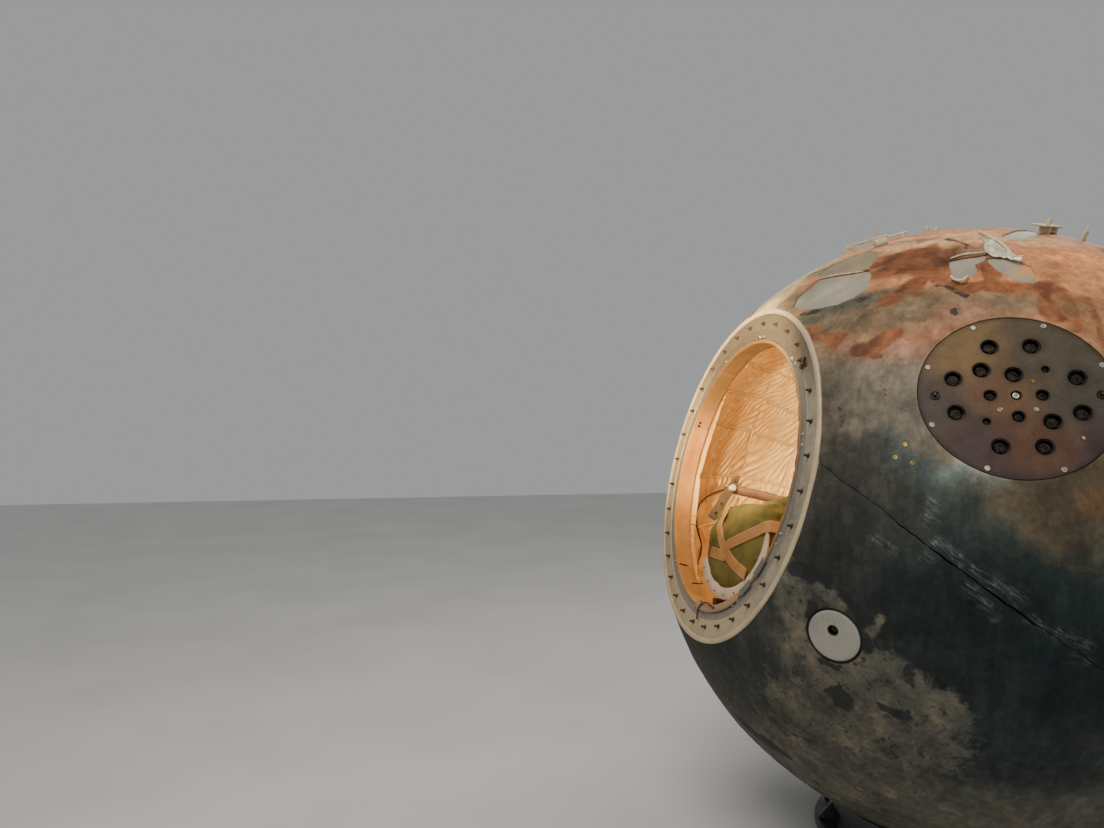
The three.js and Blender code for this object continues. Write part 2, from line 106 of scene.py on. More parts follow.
def photo_on_sphere(px, py):
    """Unit direction from the sphere's centre to what the pixel shows of the sphere."""
    ray = photo_ray(px, py)
    start = CAMERA_AT - CENTRE
    along = ray @ start
    inside = max(0.0, along**2 - (start @ start - SKIN**2))
    point = start + (-along - math.sqrt(inside)) * ray
    return point / np.linalg.norm(point)


def photo_on_plane(px, py, axes, height):
    """Point in the frame's own coordinates where the pixel's ray meets its plane z = height."""
    ray = photo_ray(px, py) @ axes
    start = (CAMERA_AT - CENTRE) @ axes
    return start + ray * (height - start[2]) / ray[2]


# Frames: columns are the frame's x, y and z (outward) in the row frame.
def basis(azimuth, elevation, twist=0.0):
    az, el, tw = (math.radians(a) for a in (azimuth, elevation, twist))
    out = np.array([math.sin(az) * math.cos(el), -math.cos(az) * math.cos(el), math.sin(el)])
    east = np.array([math.cos(az), math.sin(az), 0.0])
    north = np.cross(out, east)
    x = east * math.cos(tw) + north * math.sin(tw)
    y = north * math.cos(tw) - east * math.sin(tw)
    return np.column_stack([x, y, out])


def basis_along(direction):
    """Axes whose z lies along the direction."""
    z = np.asarray(direction, float)
    z = z / np.linalg.norm(z)
    side = np.cross((0.0, 0.0, 1.0), z)
    if np.linalg.norm(side) < 1e-3:
        side = np.cross((0.0, 1.0, 0.0), z)
    x = side / np.linalg.norm(side)
    return np.column_stack([x, np.cross(z, x), z])


def put(axes, points, origin=CENTRE):
    """Points of a frame in the row frame."""
    return origin + np.asarray(points, float) @ axes.T


HATCH = basis(0.0, HATCH_TILT)
SEAT = basis(0.0, HATCH_TILT, SEAT_ROLL)
PLATE = basis(*PLATE_AT)
PORT = basis(*PORT_AT)
FLOOR = np.eye(3)
GROUND = np.zeros(3)


def turned_flat(angle):
    """Axes turned about z by the angle in degrees."""
    c, s = math.cos(math.radians(angle)), math.sin(math.radians(angle))
    return np.array([[c, -s, 0], [s, c, 0], [0, 0, 1.0]])


def turned_to_x(sign):
    """Axes whose z lies along x, or against it."""
    z = np.array([sign, 0.0, 0.0])
    x = np.array([0.0, 1.0, 0.0])
    return np.column_stack([x, np.cross(z, x), z])


TURNED_TO_Y = np.column_stack([(1.0, 0, 0), (0, 0, -1.0), (0, 1.0, 0)])


def around(angle, radius, level):
    """Place on the hatch axis's cylinder: angle in degrees, radius and height."""
    turn = math.radians(angle)
    return put(HATCH, (radius * math.cos(turn), radius * math.sin(turn), level))


def turned_round(angle):
    """Hatch axes turned so that x points outwards at the angle, in degrees."""
    return HATCH @ turned_flat(angle)


def spread_round(count, radius, first=0.0):
    """Places on a circle: x and y of each, from a share of one step."""
    for k in range(count):
        turn = 2 * math.pi * (k + first) / count
        yield radius * math.cos(turn), radius * math.sin(turn)


# Gradient noise, the same on every run.
class Noise:
    def __init__(self, seed):
        draw = np.random.default_rng(seed)
        self.order = draw.permutation(256)
        slopes = draw.normal(size=(256, 3))
        self.slopes = slopes / np.linalg.norm(slopes, axis=1)[:, None]

    def single(self, points):
        cell = np.floor(points).astype(int)
        part = points - cell
        fade = part**3 * (part * (part * 6 - 15) + 10)
        total = np.zeros(len(points))
        for corner in np.ndindex(2, 2, 2):
            at = (cell + corner) & 255
            mixed = self.order[(self.order[(self.order[at[:, 0]] + at[:, 1]) & 255] + at[:, 2]) & 255]
            slope = self.slopes[mixed]
            share = np.where(corner, fade, 1 - fade).prod(axis=1)
            total += share * ((part - corner) * slope).sum(axis=1)
        return total * 1.6

    def layers(self, points, scale, octaves=4):
        """Layered noise, roughly from -1 to 1."""
        points = np.asarray(points, float)
        total = np.zeros(len(points))
        for i in range(octaves):
            total += 0.5**i * self.single(points * scale * 2**i + 17.3 * i)
        return total


noise_a, noise_b, noise_c = Noise(11), Noise(23), Noise(37)


def smooth(low, high, value):
    """0 below low, 1 above high and a soft step between; low may be the greater."""
    t = np.clip((value - low) / (high - low), 0, 1)
    return t * t * (3 - 2 * t)


# Meshes from arrays
def smooth_faces(obj, sharp):
    """Smooth shading, with the edges sharp that turn by more than the angle in degrees."""
    obj.data.polygons.foreach_set("use_smooth", [True] * len(obj.data.polygons))
    obj.data.set_sharp_from_angle(angle=math.radians(sharp))


def finish_mesh(obj, looks, body, sharp, slot):
    for look in looks:
        obj.data.materials.append(look)
    smooth_faces(obj, sharp)
    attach(obj, body)
    return obj


def raw_object(name, vertices, faces):
    mesh = bpy.data.meshes.new(name)
    mesh.from_pydata(np.asarray(vertices, float).tolist(), [], [list(f) for f in faces])
    mesh.validate()
    return linked(name, mesh)


def signed_volume(vertices, faces):
    total = 0.0
    v = np.asarray(vertices)
    by_size = {}
    for f in faces:
        by_size.setdefault(len(f), []).append(f)
    for size, group in by_size.items():
        g = np.array(group)
        for k in range(1, size - 1):
            total += (v[g[:, 0]] * np.cross(v[g[:, k]], v[g[:, k + 1]])).sum()
    return total / 6


def outward(vertices, faces):
    """The faces, all turned over if they look inwards."""
    return [f[::-1] for f in faces] if signed_volume(vertices, faces) < 0 else faces


def solid(name, vertices, faces, look, slot, body="capsule", sharp=38.0):
    """A closed piece, with its faces turned outward."""
    return finish_mesh(raw_object(name, vertices, outward(vertices, faces)), [look], body, sharp, slot)


def quads(rows, columns, close_rows=False, close_columns=True):
    """Faces of a grid of vertices, row by row."""
    last_row = rows if close_rows else rows - 1
    last_column = columns if close_columns else columns - 1
    i, j = np.meshgrid(np.arange(last_row), np.arange(last_column), indexing="ij")
    below, beside = (i + 1) % rows, (j + 1) % columns
    stacked = [i * columns + j, i * columns + beside, below * columns + beside, below * columns + j]
    return np.stack(stacked, axis=-1).reshape(-1, 4).tolist()


def grid_edge(rows, columns):
    """The vertices round the edge of an open grid, in order."""
    last = rows - 1
    return (
        list(range(columns))
        + [row * columns + columns - 1 for row in range(1, rows)]
        + [last * columns + column for column in range(columns - 2, -1, -1)]
        + [row * columns for row in range(last - 1, 0, -1)]
    )


def two_caps(rows, columns):
    """Faces that close a grid of closed rows at its first and last one."""
    return [list(range(columns))[::-1], [(rows - 1) * columns + k for k in range(columns)]]


def rounded(outline, radius, steps=3, closed=True):
    """A 2-D or 3-D outline with its corners rounded."""
    points = [np.asarray(p, float) for p in outline]
    count = len(points)
    made = []
    for i, p in enumerate(points):
        if not closed and i in (0, count - 1):
            made.append(p)
            continue
        before, after = points[i - 1] - p, points[(i + 1) % count] - p
        cut = min(radius, 0.45 * np.linalg.norm(before), 0.45 * np.linalg.norm(after))
        a = p + before / np.linalg.norm(before) * cut
        b = p + after / np.linalg.norm(after) * cut
        for t in np.linspace(0, 1, steps + 1):
            made.append((1 - t) ** 2 * a + 2 * t * (1 - t) * p + t * t * b)
    return np.array(made)


def lathe_arrays(profile, axes, segments, origin=CENTRE):
    """Body turned about the frame's z; a profile that ends on the axis is closed there."""
    profile = np.asarray(profile, float)
    on_axis = profile[0][0] < 1e-9 and profile[-1][0] < 1e-9
    angles = np.linspace(0, 2 * math.pi, segments, endpoint=False)
    rings = profile[1:-1] if on_axis else profile
    local = np.stack(
        [
            rings[:, None, 0] * np.cos(angles),
            rings[:, None, 0] * np.sin(angles),
            np.repeat(rings[:, None, 1], segments, axis=1),
        ],
        axis=-1,
    ).reshape(-1, 3)
    faces = quads(len(rings), segments, close_rows=not on_axis)
    if on_axis:
        first, last = len(local), len(local) + 1
        local = np.vstack([local, [0, 0, profile[0][1]], [0, 0, profile[-1][1]]])
        end = (len(rings) - 1) * segments
        for j in range(segments):
            k = (j + 1) % segments
            faces.append([first, k, j])
            faces.append([last, end + j, end + k])
    return put(axes, local, origin), faces


def lathe(name, profile, axes, look, segments, fillet=0.0, *, slot, origin=CENTRE):
    """Turned piece; fillet rounds the profile's corners."""
    if fillet:
        on_axis = profile[0][0] < 1e-9
        profile = rounded(profile, fillet, closed=not on_axis)
    vertices, faces = lathe_arrays(profile, axes, segments, origin)
    return solid(name, vertices, faces, look, slot)


def closed_lathe(profile, axes, segments, origin=CENTRE):
    """Lathe arrays with their faces outwards."""
    vertices, faces = lathe_arrays(profile, axes, segments, origin)
    return vertices, outward(vertices - origin, faces)


def box_arrays(low, high, bevel=0.0015):
    """Box with bevelled edges: each corner is three vertices, one on each face."""
    low, high = np.asarray(low, float), np.asarray(high, float)
    bevel = min(bevel, 0.45 * (high - low).min())
    vertices, index = [], {}
    for corner in np.ndindex(2, 2, 2):
        at = np.where(corner, high, low)
        inward = np.where(corner, -1, 1) * bevel
        for axis in range(3):
            point = at + inward
            point[axis] = at[axis]
            index[corner + (axis,)] = len(vertices)
            vertices.append(point)
    faces = []
    for axis in range(3):
        a, b = [i for i in range(3) if i != axis]
        for side in (0, 1):
            loop = []
            for p, q in ((0, 0), (1, 0), (1, 1), (0, 1)):
                corner = [0, 0, 0]
                corner[axis], corner[a], corner[b] = side, p, q
                loop.append(index[tuple(corner) + (axis,)])
            faces.append(loop)
        for p in (0, 1):
            for q in (0, 1):
                ends = []
                for s in (0, 1):
                    corner = [0, 0, 0]
                    corner[axis], corner[a], corner[b] = s, p, q
                    ends.append(tuple(corner))
                near, far = ends
                faces.append([index[near + (a,)], index[far + (a,)], index[far + (b,)], index[near + (b,)]])
    for corner in np.ndindex(2, 2, 2):
        faces.append([index[corner + (axis,)] for axis in range(3)])
    vertices = np.array(vertices)
    middle = vertices.mean(axis=0)
    turned = []
    for f in faces:
        a, b, c = vertices[f[0]], vertices[f[1]], vertices[f[2]]
        facing = np.cross(b - a, c - a) @ (vertices[f].mean(axis=0) - middle)
        turned.append(f if facing > 0 else f[::-1])
    return vertices, turned


def tube_arrays(path, radius, sides):
    """Round bar along a path; radius may be one value or one for each point."""
    path = np.asarray(path, float)
    radii = np.broadcast_to(np.asarray(radius, float), (len(path),))
    tangents = np.gradient(path, axis=0)
    tangents /= np.linalg.norm(tangents, axis=1)[:, None]
    side = np.cross(tangents[0], (0.0, 0.0, 1.0))
    if np.linalg.norm(side) < 1e-3:
        side = np.cross(tangents[0], (0.0, 1.0, 0.0))
    vertices = []
    angles = np.linspace(0, 2 * math.pi, sides, endpoint=False)
    for point, along, r in zip(path, tangents, radii):
        side = side - along * (side @ along)
        side /= np.linalg.norm(side)
        other = np.cross(along, side)
        for t in angles:
            vertices.append(point + r * (math.cos(t) * side + math.sin(t) * other))
    return np.array(vertices), quads(len(path), sides) + two_caps(len(path), sides)


def gathered(parts):
    """Several (vertices, faces) as one."""
    vertices, faces, start = [], [], 0
    for v, f in parts:
        vertices.append(v)
        faces.extend([[i + start for i in face] for face in f])
        start += len(v)
    return np.vstack(vertices), faces


def many(name, parts, look, slot, body="capsule", sharp=38.0):
    """Several closed shapes as one piece."""
    return solid(name, *gathered(parts), look, slot, body, sharp)


def evenly(dense, count):
    """The path cut into count points at even steps."""
    steps = np.r_[0, np.cumsum(np.linalg.norm(np.diff(dense, axis=0), axis=1))]
    wanted = np.linspace(0, steps[-1], count)
    return np.column_stack([np.interp(wanted, steps, dense[:, k]) for k in range(dense.shape[1])])


def curve_through(points, count):
    """Smooth path of count points through the given ones, evenly spaced."""
    p = np.asarray(points, float)
    padded = np.vstack([2 * p[0] - p[1], p, 2 * p[-1] - p[-2]])
    dense = []
    for i in range(1, len(padded) - 2):
        a, b, c, d = padded[i - 1 : i + 3]
        for t in np.linspace(0, 1, 24, endpoint=False):
            dense.append(
                0.5
                * (
                    2 * b
                    + (c - a) * t
                    + (2 * a - 5 * b + 4 * c - d) * t**2
                    + (3 * b - a - 3 * c + d) * t**3
                )
            )
    return evenly(np.array(dense + [padded[-2]]), count)


def apply_modifiers(obj):
    graph = bpy.context.evaluated_depsgraph_get()
    made = bpy.data.meshes.new_from_object(obj.evaluated_get(graph))
    obj.modifiers.clear()
    obj.data = made


def cut(obj, cutters):
    """Takes the cutters out of the object, one after another, and removes them."""
    for cutter in cutters:
        modifier = obj.modifiers.new("cut", "BOOLEAN")
        modifier.operation = "DIFFERENCE"
        modifier.solver = "MANIFOLD"
        modifier.material_mode = "TRANSFER"
        modifier.object = cutter
    old = obj.data
    apply_modifiers(obj)
    bpy.data.meshes.remove(old)
    for cutter in cutters:
        bpy.data.objects.remove(cutter)
    return obj


def vertices_of(mesh):
    points = np.zeros(len(mesh.vertices) * 3, np.float32)
    mesh.vertices.foreach_get("co", points)
    return points.reshape(-1, 3).astype(float)


def store(obj, name, values):
    """Keeps one value, or one linear RGB colour, for each vertex under a name."""
    if values.ndim == 1:
        layer = obj.data.attributes.new(name, "FLOAT", "POINT")
        layer.data.foreach_set("value", values.astype(np.float32))
    else:
        layer = obj.data.attributes.new(name, "FLOAT_COLOR", "POINT")
        opaque = np.column_stack([values, np.ones(len(values))])
        layer.data.foreach_set("color", opaque.astype(np.float32).ravel())


def triangulate(obj, corners=None):
    """Cuts up the faces that have so many corners, or all of them."""
    shape = bmesh.new()
    shape.from_mesh(obj.data)
    bmesh.ops.triangulate(shape, faces=[f for f in shape.faces if corners in (None, len(f.verts))])
    shape.to_mesh(obj.data)
    shape.free()


def ball_object(radius, subdivisions=5):
    obj = raw_object("ball", np.zeros((0, 3)), [])
    shape = bmesh.new()
    bmesh.ops.create_icosphere(shape, subdivisions=subdivisions, radius=radius)
    bmesh.ops.translate(shape, verts=shape.verts, vec=CENTRE)
    shape.to_mesh(obj.data)
    shape.free()
    return obj


def cylinder_object(axes, radius, low, high, segments=160, origin=CENTRE):
    profile = [(0, low), (radius, low), (radius, high), (0, high)]
    return raw_object("cutter", *closed_lathe(profile, axes, segments, origin))


# Run of the crack and the surface's outward direction where the scuffs beside it lie.
CRACK_OUT = photo_on_sphere(950, 562)
CRACK_RUN = np.cross(SEAM_NORMAL, CRACK_OUT)
CRACK_RUN /= np.linalg.norm(CRACK_RUN)


# Procedural materials
class Look:
    """A Principled material and the nodes that feed it; coordinates are the row frame's metres."""

    def __init__(self, name, roughness=0.5, metallic=0.0, **sockets):
        self.material = bpy.data.materials.new(name)
        self.material.use_nodes = True
        self.nodes = self.material.node_tree.nodes
        self.links = self.material.node_tree.links
        self.shader = next(n for n in self.nodes if n.type == "BSDF_PRINCIPLED")
        self.shader.inputs["Roughness"].default_value = roughness
        self.shader.inputs["Metallic"].default_value = metallic
        for socket, value in sockets.items():
            self.shader.inputs[socket.replace("_", " ")].default_value = value
        self.place = self.nodes.new("ShaderNodeTexCoord").outputs["Object"]
        self.height = None

    def _feed(self, socket, value):
        if isinstance(value, bpy.types.NodeSocket):
            self.links.new(value, socket)
        elif isinstance(value, tuple) and len(value) == 3 and socket.type == "RGBA":
            socket.default_value = (*value, 1.0)
        else:
            socket.default_value = value

    def stretched(self, scale):
        node = self.nodes.new("ShaderNodeMapping")
        self._feed(node.inputs["Vector"], self.place)
        node.inputs["Scale"].default_value = scale
        return node.outputs["Vector"]

    def drawn(self, direction, normal, length, width):
        """Coordinates in which noise is drawn out along a direction on the surface."""
        across = np.cross(normal, direction)
        turn = Matrix(np.column_stack([direction, across, np.cross(direction, across)]).tolist())
        node = self.nodes.new("ShaderNodeMapping")
        node.vector_type = "TEXTURE"
        self._feed(node.inputs["Vector"], self.place)
        node.inputs["Rotation"].default_value = turn.to_euler("XYZ")
        node.inputs["Scale"].default_value = (length, width, width)
        return node.outputs["Vector"]

    def noise(self, scale, detail=5.0, roughness=0.55, distortion=0.0, place=None):
        node = self.nodes.new("ShaderNodeTexNoise")
        self._feed(node.inputs["Vector"], place or self.place)
        node.inputs["Scale"].default_value = scale
        node.inputs["Detail"].default_value = detail
        node.inputs["Roughness"].default_value = roughness
        node.inputs["Distortion"].default_value = distortion
        return node.outputs["Fac"]

    def axis(self, index):
        """The row frame's x (0), y (1) or z (2)."""
        node = self.nodes.new("ShaderNodeSeparateXYZ")
        self._feed(node.inputs[0], self.place)
        return node.outputs[index]

    def attribute(self, name, color=False):
        node = self.nodes.new("ShaderNodeAttribute")
        node.attribute_name = name
        return node.outputs["Color" if color else "Fac"]

    def maths(self, operation, a, b):
        node = self.nodes.new("ShaderNodeMath")
        node.operation = operation
        self._feed(node.inputs[0], a)
        self._feed(node.inputs[1], b)
        return node.outputs[0]

    def times(self, a, b):
        return self.maths("MULTIPLY", a, b)

    def plus(self, a, b):
        return self.maths("ADD", a, b)

    def swung(self, value, amount):
        """The value about zero instead of a half, times the amount."""
        return self.times(self.maths("SUBTRACT", value, 0.5), amount)

    def between(self, value, low, high, to_low=0.0, to_high=1.0):
        node = self.nodes.new("ShaderNodeMapRange")
        node.interpolation_type = "SMOOTHSTEP"
        self._feed(node.inputs["Value"], value)
        node.inputs["From Min"].default_value = low
        node.inputs["From Max"].default_value = high
        node.inputs["To Min"].default_value = to_low
        node.inputs["To Max"].default_value = to_high
        return node.outputs[0]

    def mix(self, share, a, b, blend="MIX"):
        node = self.nodes.new("ShaderNodeMix")
        node.data_type = "RGBA"
        node.blend_type = blend
        self._feed(node.inputs[0], share)
        self._feed(node.inputs[6], a)
        self._feed(node.inputs[7], b)
        return node.outputs[2]

    def varied(self, color, value, low, high, share=1.0):
        """The colour times a grey that runs from low to high with the value."""
        greys = self.shades(value, (0.34, grey(low)), (0.5, grey(1.0)), (0.66, grey(high)))
        return self.mix(share, color, greys, "MULTIPLY")

    def shades(self, value, *stops):
        """Colour ramp: each stop is (place, colour)."""
        node = self.nodes.new("ShaderNodeValToRGB")
        ramp = node.color_ramp
        while len(ramp.elements) < len(stops):
            ramp.elements.new(0.5)
        for element, (at, color) in zip(ramp.elements, stops):
            element.position = at
            element.color = (*color, 1.0)
        self._feed(node.inputs["Fac"], value)
        return node.outputs["Color"]

    def raised(self, value, distance, strength=1.0):
        """Adds one more layer of bump."""
        node = self.nodes.new("ShaderNodeBump")
        node.inputs["Strength"].default_value = strength
        node.inputs["Distance"].default_value = distance
        self._feed(node.inputs["Height"], value)
        if self.height is not None:
            self.links.new(self.height, node.inputs["Normal"])
        self.height = node.outputs["Normal"]
        return self

    def done(self, color, roughness=None):
        self._feed(self.shader.inputs["Base Color"], color)
        if roughness is not None:
            self._feed(self.shader.inputs["Roughness"], roughness)
        if self.height is not None:
            self.links.new(self.height, self.shader.inputs["Normal"])
        return self.material


def grey(value):
    return (value, value, value)


def rgb(red, green, blue):
    """An sRGB colour from 0 to 255 as linear values."""
    def linear(value):
        value /= 255
        return value / 12.92 if value <= 0.04045 else ((value + 0.055) / 1.055) ** 2.4
    return (linear(red), linear(green), linear(blue))


def skin_look():
    """Charred ablative shell: tones and layers come from the mesh, edges and grain from noise."""
    look = Look("charred_shield", roughness=0.8, Specular_IOR_Level=0.12)
    cloud = look.noise(4.2, 7, 0.64, 0.6)
    blotch = look.noise(15.0, 7, 0.68, 0.9)
    grain = look.noise(52.0, 6, 0.66)
    streak = look.noise(1.0, 6, 0.64, 0.3, look.stretched((26, 26, 4)))
    color = look.varied(look.attribute("tone", color=True), cloud, 0.66, 1.34)
    color = look.varied(color, streak, 0.72, 1.24, 0.8)
    color = look.varied(color, blotch, 0.74, 1.22, 0.8)
    color = look.varied(color, grain, 0.74, 1.24, 0.7)
    green = look.between(look.noise(6.5, 6, 0.6, 0.8), 0.52, 0.7, 0.0, 0.34)
    color = look.mix(green, color, look.mix(1.0, color, (0.84, 1.04, 1.02), "MULTIPLY"))
    brown = look.between(look.noise(9.0, 6, 0.62, 1.0), 0.54, 0.68, 0.0, 0.8)
    color = look.mix(brown, color, look.mix(1.0, color, (1.2, 0.98, 0.84), "MULTIPLY"))

    def layer(name, low, high, coarse, fine):
        """A layer that is painted on the mesh, with ragged edges."""
        grit = look.plus(look.swung(blotch, coarse), look.swung(grain, fine))
        return look.between(look.plus(look.attribute(name), grit), low, high)

    rust = layer("rust", 0.26, 0.86, 1.6, 0.9)
    rust_tone = look.shades(
        look.noise(8.0, 8, 0.7, 0.8),
        (0.33, rgb(58, 38, 29)), (0.44, rgb(90, 54, 37)), (0.54, rgb(122, 72, 46)), (0.66, rgb(152, 98, 64)),
    )
    color = look.mix(look.times(rust, 0.86), color, look.varied(rust_tone, grain, 0.8, 1.15, 0.7))
    pale = layer("pale", 0.24, 0.80, 1.3, 0.9)
    pale_tone = look.shades(
        look.noise(11.0, 8, 0.68, 0.2),
        (0.32, rgb(56, 58, 54)), (0.43, rgb(78, 78, 70)), (0.55, rgb(98, 94, 82)), (0.68, rgb(124, 114, 94)),
    )
    color = look.mix(look.times(pale, 0.92), color, look.varied(pale_tone, grain, 0.78, 1.18, 0.8))
    flecks = look.between(look.noise(26.0, 8, 0.76, 0.3), 0.57, 0.63)
    color = look.mix(look.times(look.times(flecks, pale), 0.75), color, rgb(38, 40, 39))
    smudge = layer("smudge", 0.42, 0.70, 1.6, 0.8)
    color = look.mix(look.times(smudge, 0.85), color, rgb(38, 41, 41))
    lines = look.noise(1.0, 6, 0.66, 0.5, look.drawn(CRACK_RUN, CRACK_OUT, 0.05, 0.008))
    specks = look.between(look.noise(38.0, 6, 0.7, 0.6), 0.5, 0.66)
    scuff = look.times(look.attribute("scuff"), look.between(lines, 0.44, 0.62))
    color = look.mix(look.times(scuff, 0.36), color, rgb(104, 110, 104))
    color = look.mix(look.times(scuff, look.times(specks, 0.42)), color, rgb(156, 162, 150))
    color = look.mix(look.attribute("wall"), color, rgb(44, 38, 32))
    look.raised(look.noise(6.0, 5, 0.5), 0.006, 0.6)
    look.raised(blotch, 0.0035, 0.8)
    look.raised(grain, 0.0014, 0.9)
    look.raised(look.noise(240.0, 3, 0.6), 0.0004, 0.7)
    look.raised(look.times(rust, -1.0), 0.0018, 0.8)
    look.raised(look.times(pale, flecks), -0.0012, 0.8)
    return look.done(color, look.between(cloud, 0.3, 0.7, 0.60, 0.86))


def exposed_look():
    """Smooth pale layer that shows where the char has come away."""
    look = Look("exposed_layer", roughness=0.5)
    cloud = look.noise(7.0, 5, 0.55, 0.3)
    color = look.shades(
        cloud, (0.30, rgb(122, 118, 100)), (0.5, rgb(143, 138, 121)), (0.70, rgb(164, 155, 131))
    )
    dirt = look.between(look.noise(34.0, 6, 0.7, 0.6), 0.56, 0.72)
    color = look.mix(look.times(dirt, 0.45), color, rgb(112, 100, 76))
    color = look.mix(look.attribute("scorch"), color, rgb(196, 146, 88))
    # The part of the first bare patch above its ridge still has a thin brown film.
    film = look.times(look.between(look.axis(2), 2.150, 2.172), look.between(look.axis(1), -0.40, -0.47))
    film = look.times(film, look.between(cloud, 0.2, 0.8, 0.9, 0.5))
    color = look.mix(film, color, rgb(126, 108, 76))
    return look.raised(look.noise(60.0, 4), 0.0006, 0.6).done(color)


def paint_look(name, main, worn, grime, roughness, scale=1.0, metallic=0.0):
    """Paint in three tones with grime and chips; a greater scale makes them finer."""
    look = Look(name, roughness=roughness, metallic=metallic)
    cloud = look.noise(6.0 * scale, 6, 0.6, 0.4)
    speck = look.noise(60.0 * scale, 6, 0.7)
    dark, light = tuple(c * 0.78 for c in main), tuple(min(1, c * 1.14) for c in main)
    color = look.shades(cloud, (0.3, dark), (0.52, main), (0.75, light))
    color = look.mix(look.times(look.between(speck, 0.55, 0.72), 0.55), color, grime)
    chip = look.between(look.noise(22.0 * scale, 7, 0.75, 0.7), 0.64, 0.68)
    color = look.mix(chip, color, worn)
    look.raised(look.noise(180.0 * scale, 3), 0.0003, 0.6)
    look.raised(chip, -0.0006, 0.7)
    return look.done(color, look.between(cloud, 0.3, 0.7, max(0.05, roughness - 0.12), roughness + 0.12))


def flange_look():
    """Worn flange paint: greyer in the shiny band round the opening, creamier low on the ring, with painted
    shade darkening its top.
    """
    look = Look("flange_paint", roughness=0.42, metallic=0.1)
    cloud = look.noise(7.0, 7, 0.64, 0.5)
    fine = look.noise(46.0, 6, 0.68)
    color = look.shades(
        cloud, (0.32, rgb(118, 110, 92)), (0.5, rgb(148, 138, 116)), (0.68, rgb(172, 158, 130))
    )
    patchy = look.times(cloud, 0.3)
    cream = look.between(look.plus(look.axis(2), patchy), 0.90, 1.42, 0.85, 0.0)
    color = look.mix(cream, color, rgb(188, 164, 126))
    tan = look.between(look.plus(look.axis(0), patchy), 0.15, -0.35, 0.0, 0.75)
    color = look.mix(tan, color, rgb(176, 150, 104))
    inner = look.between(look.plus(look.attribute("inner"), look.swung(cloud, 0.5)), 0.3, 0.75)
    color = look.mix(look.times(inner, 0.8), color, rgb(112, 106, 98))
    # Painted shade: the top of the flange is painted darker.
    top = look.between(look.plus(look.axis(2), look.times(cloud, 0.2)), 1.74, 2.0, 0.0, 0.85)
    color = look.mix(top, color, rgb(82, 70, 52))
    color = look.varied(color, fine, 0.82, 1.12, 0.8)
    chips = look.between(look.noise(70.0, 7, 0.75, 0.6), 0.60, 0.66)
    color = look.mix(look.times(chips, 0.6), color, rgb(86, 74, 56))
    look.raised(fine, 0.0005, 0.6).raised(look.noise(200.0, 3), 0.0002, 0.5)
    return look.done(color, look.between(inner, 0.0, 1.0, 0.5, 0.3))


def metal_look(name, main, dark, roughness, scale=1.0, metallic=1.0):
    """Brushed metal, darker in places."""
    look = Look(name, roughness=roughness, metallic=metallic)
    cloud = look.noise(14.0 * scale, 6, 0.62)
    brush = look.noise(1.0, 3, 0.5, place=look.stretched((60, 60, 900)))
    color = look.shades(cloud, (0.3, dark), (0.6, main))
    color = look.mix(0.35, color, look.shades(brush, (0.3, grey(0.75)), (0.7, grey(1.15))), "MULTIPLY")
    look.raised(brush, 0.0002, 0.4)
    return look.done(color, look.between(cloud, 0.3, 0.7, roughness - 0.08, roughness + 0.15))


def fabric_look(name, main, shade, light, weave=700.0):
    """Woven cloth, worn in places; a greater weave is a finer one."""
    look = Look(name, roughness=0.9, Specular_IOR_Level=0.12)
    thread = look.noise(weave, 2, 0.5)
    cloud = look.noise(8.0, 6, 0.6, 0.3)
    color = look.shades(cloud, (0.28, shade), (0.5, main), (0.74, light))
    color = look.mix(0.1, color, look.shades(thread, (0.2, grey(0.7)), (0.9, grey(1.1))), "MULTIPLY")
    worn = look.between(look.noise(40.0, 6, 0.7), 0.58, 0.75)
    color = look.mix(look.times(worn, 0.35), color, shade)
    look.raised(look.noise(26.0, 5, 0.6), 0.0016, 0.6)
    look.raised(thread, 0.0001, 0.3)
    return look.done(color)


def lining_look():
    """Quilted cloth: the folds are geometry, with painted shade in their valleys and painted highlights on
    their ridges; the crinkle and weave are bump.
    """
    look = Look("quilted_lining", roughness=0.92, Specular_IOR_Level=0.12)
    cloud = look.noise(4.0, 6, 0.6, 0.4)
    color = look.shades(
        cloud, (0.3, rgb(216, 166, 100)), (0.5, rgb(232, 188, 122)), (0.72, rgb(242, 206, 144))
    )
    stain = look.between(look.noise(9.0, 7, 0.7, 0.8), 0.56, 0.76)
    color = look.mix(look.times(stain, 0.4), color, rgb(196, 140, 76))
    # Painted light: the cloth is painted paler the deeper it lies in the cabin.
    deep = look.between(look.plus(look.axis(1), look.times(cloud, 0.2)), -0.50, 0.05, 0.0, 0.85)
    color = look.mix(deep, color, rgb(255, 236, 172))
    fold = look.attribute("fold")
    # Painted shade in the folds' valleys and painted highlights on their ridges.
    color = look.mix(look.between(fold, 0.02, 0.35, 0.35, 0.0), color, rgb(190, 130, 70))
    color = look.mix(look.between(fold, 0.4, 0.9, 0.0, 0.6), color, rgb(252, 228, 176))
    color = look.mix(look.times(look.attribute("seam"), 0.6), color, rgb(140, 92, 50))
    creases = look.noise(24.0, 3, 0.5, 0.4)
    color = look.varied(color, creases, 0.92, 1.05, 0.8)
    look.raised(creases, 0.003, 0.7)
    look.raised(look.noise(80.0, 3, 0.5), 0.0008, 0.5)
    look.raised(look.noise(700.0, 2), 0.0003, 0.6)
    return look.done(color)


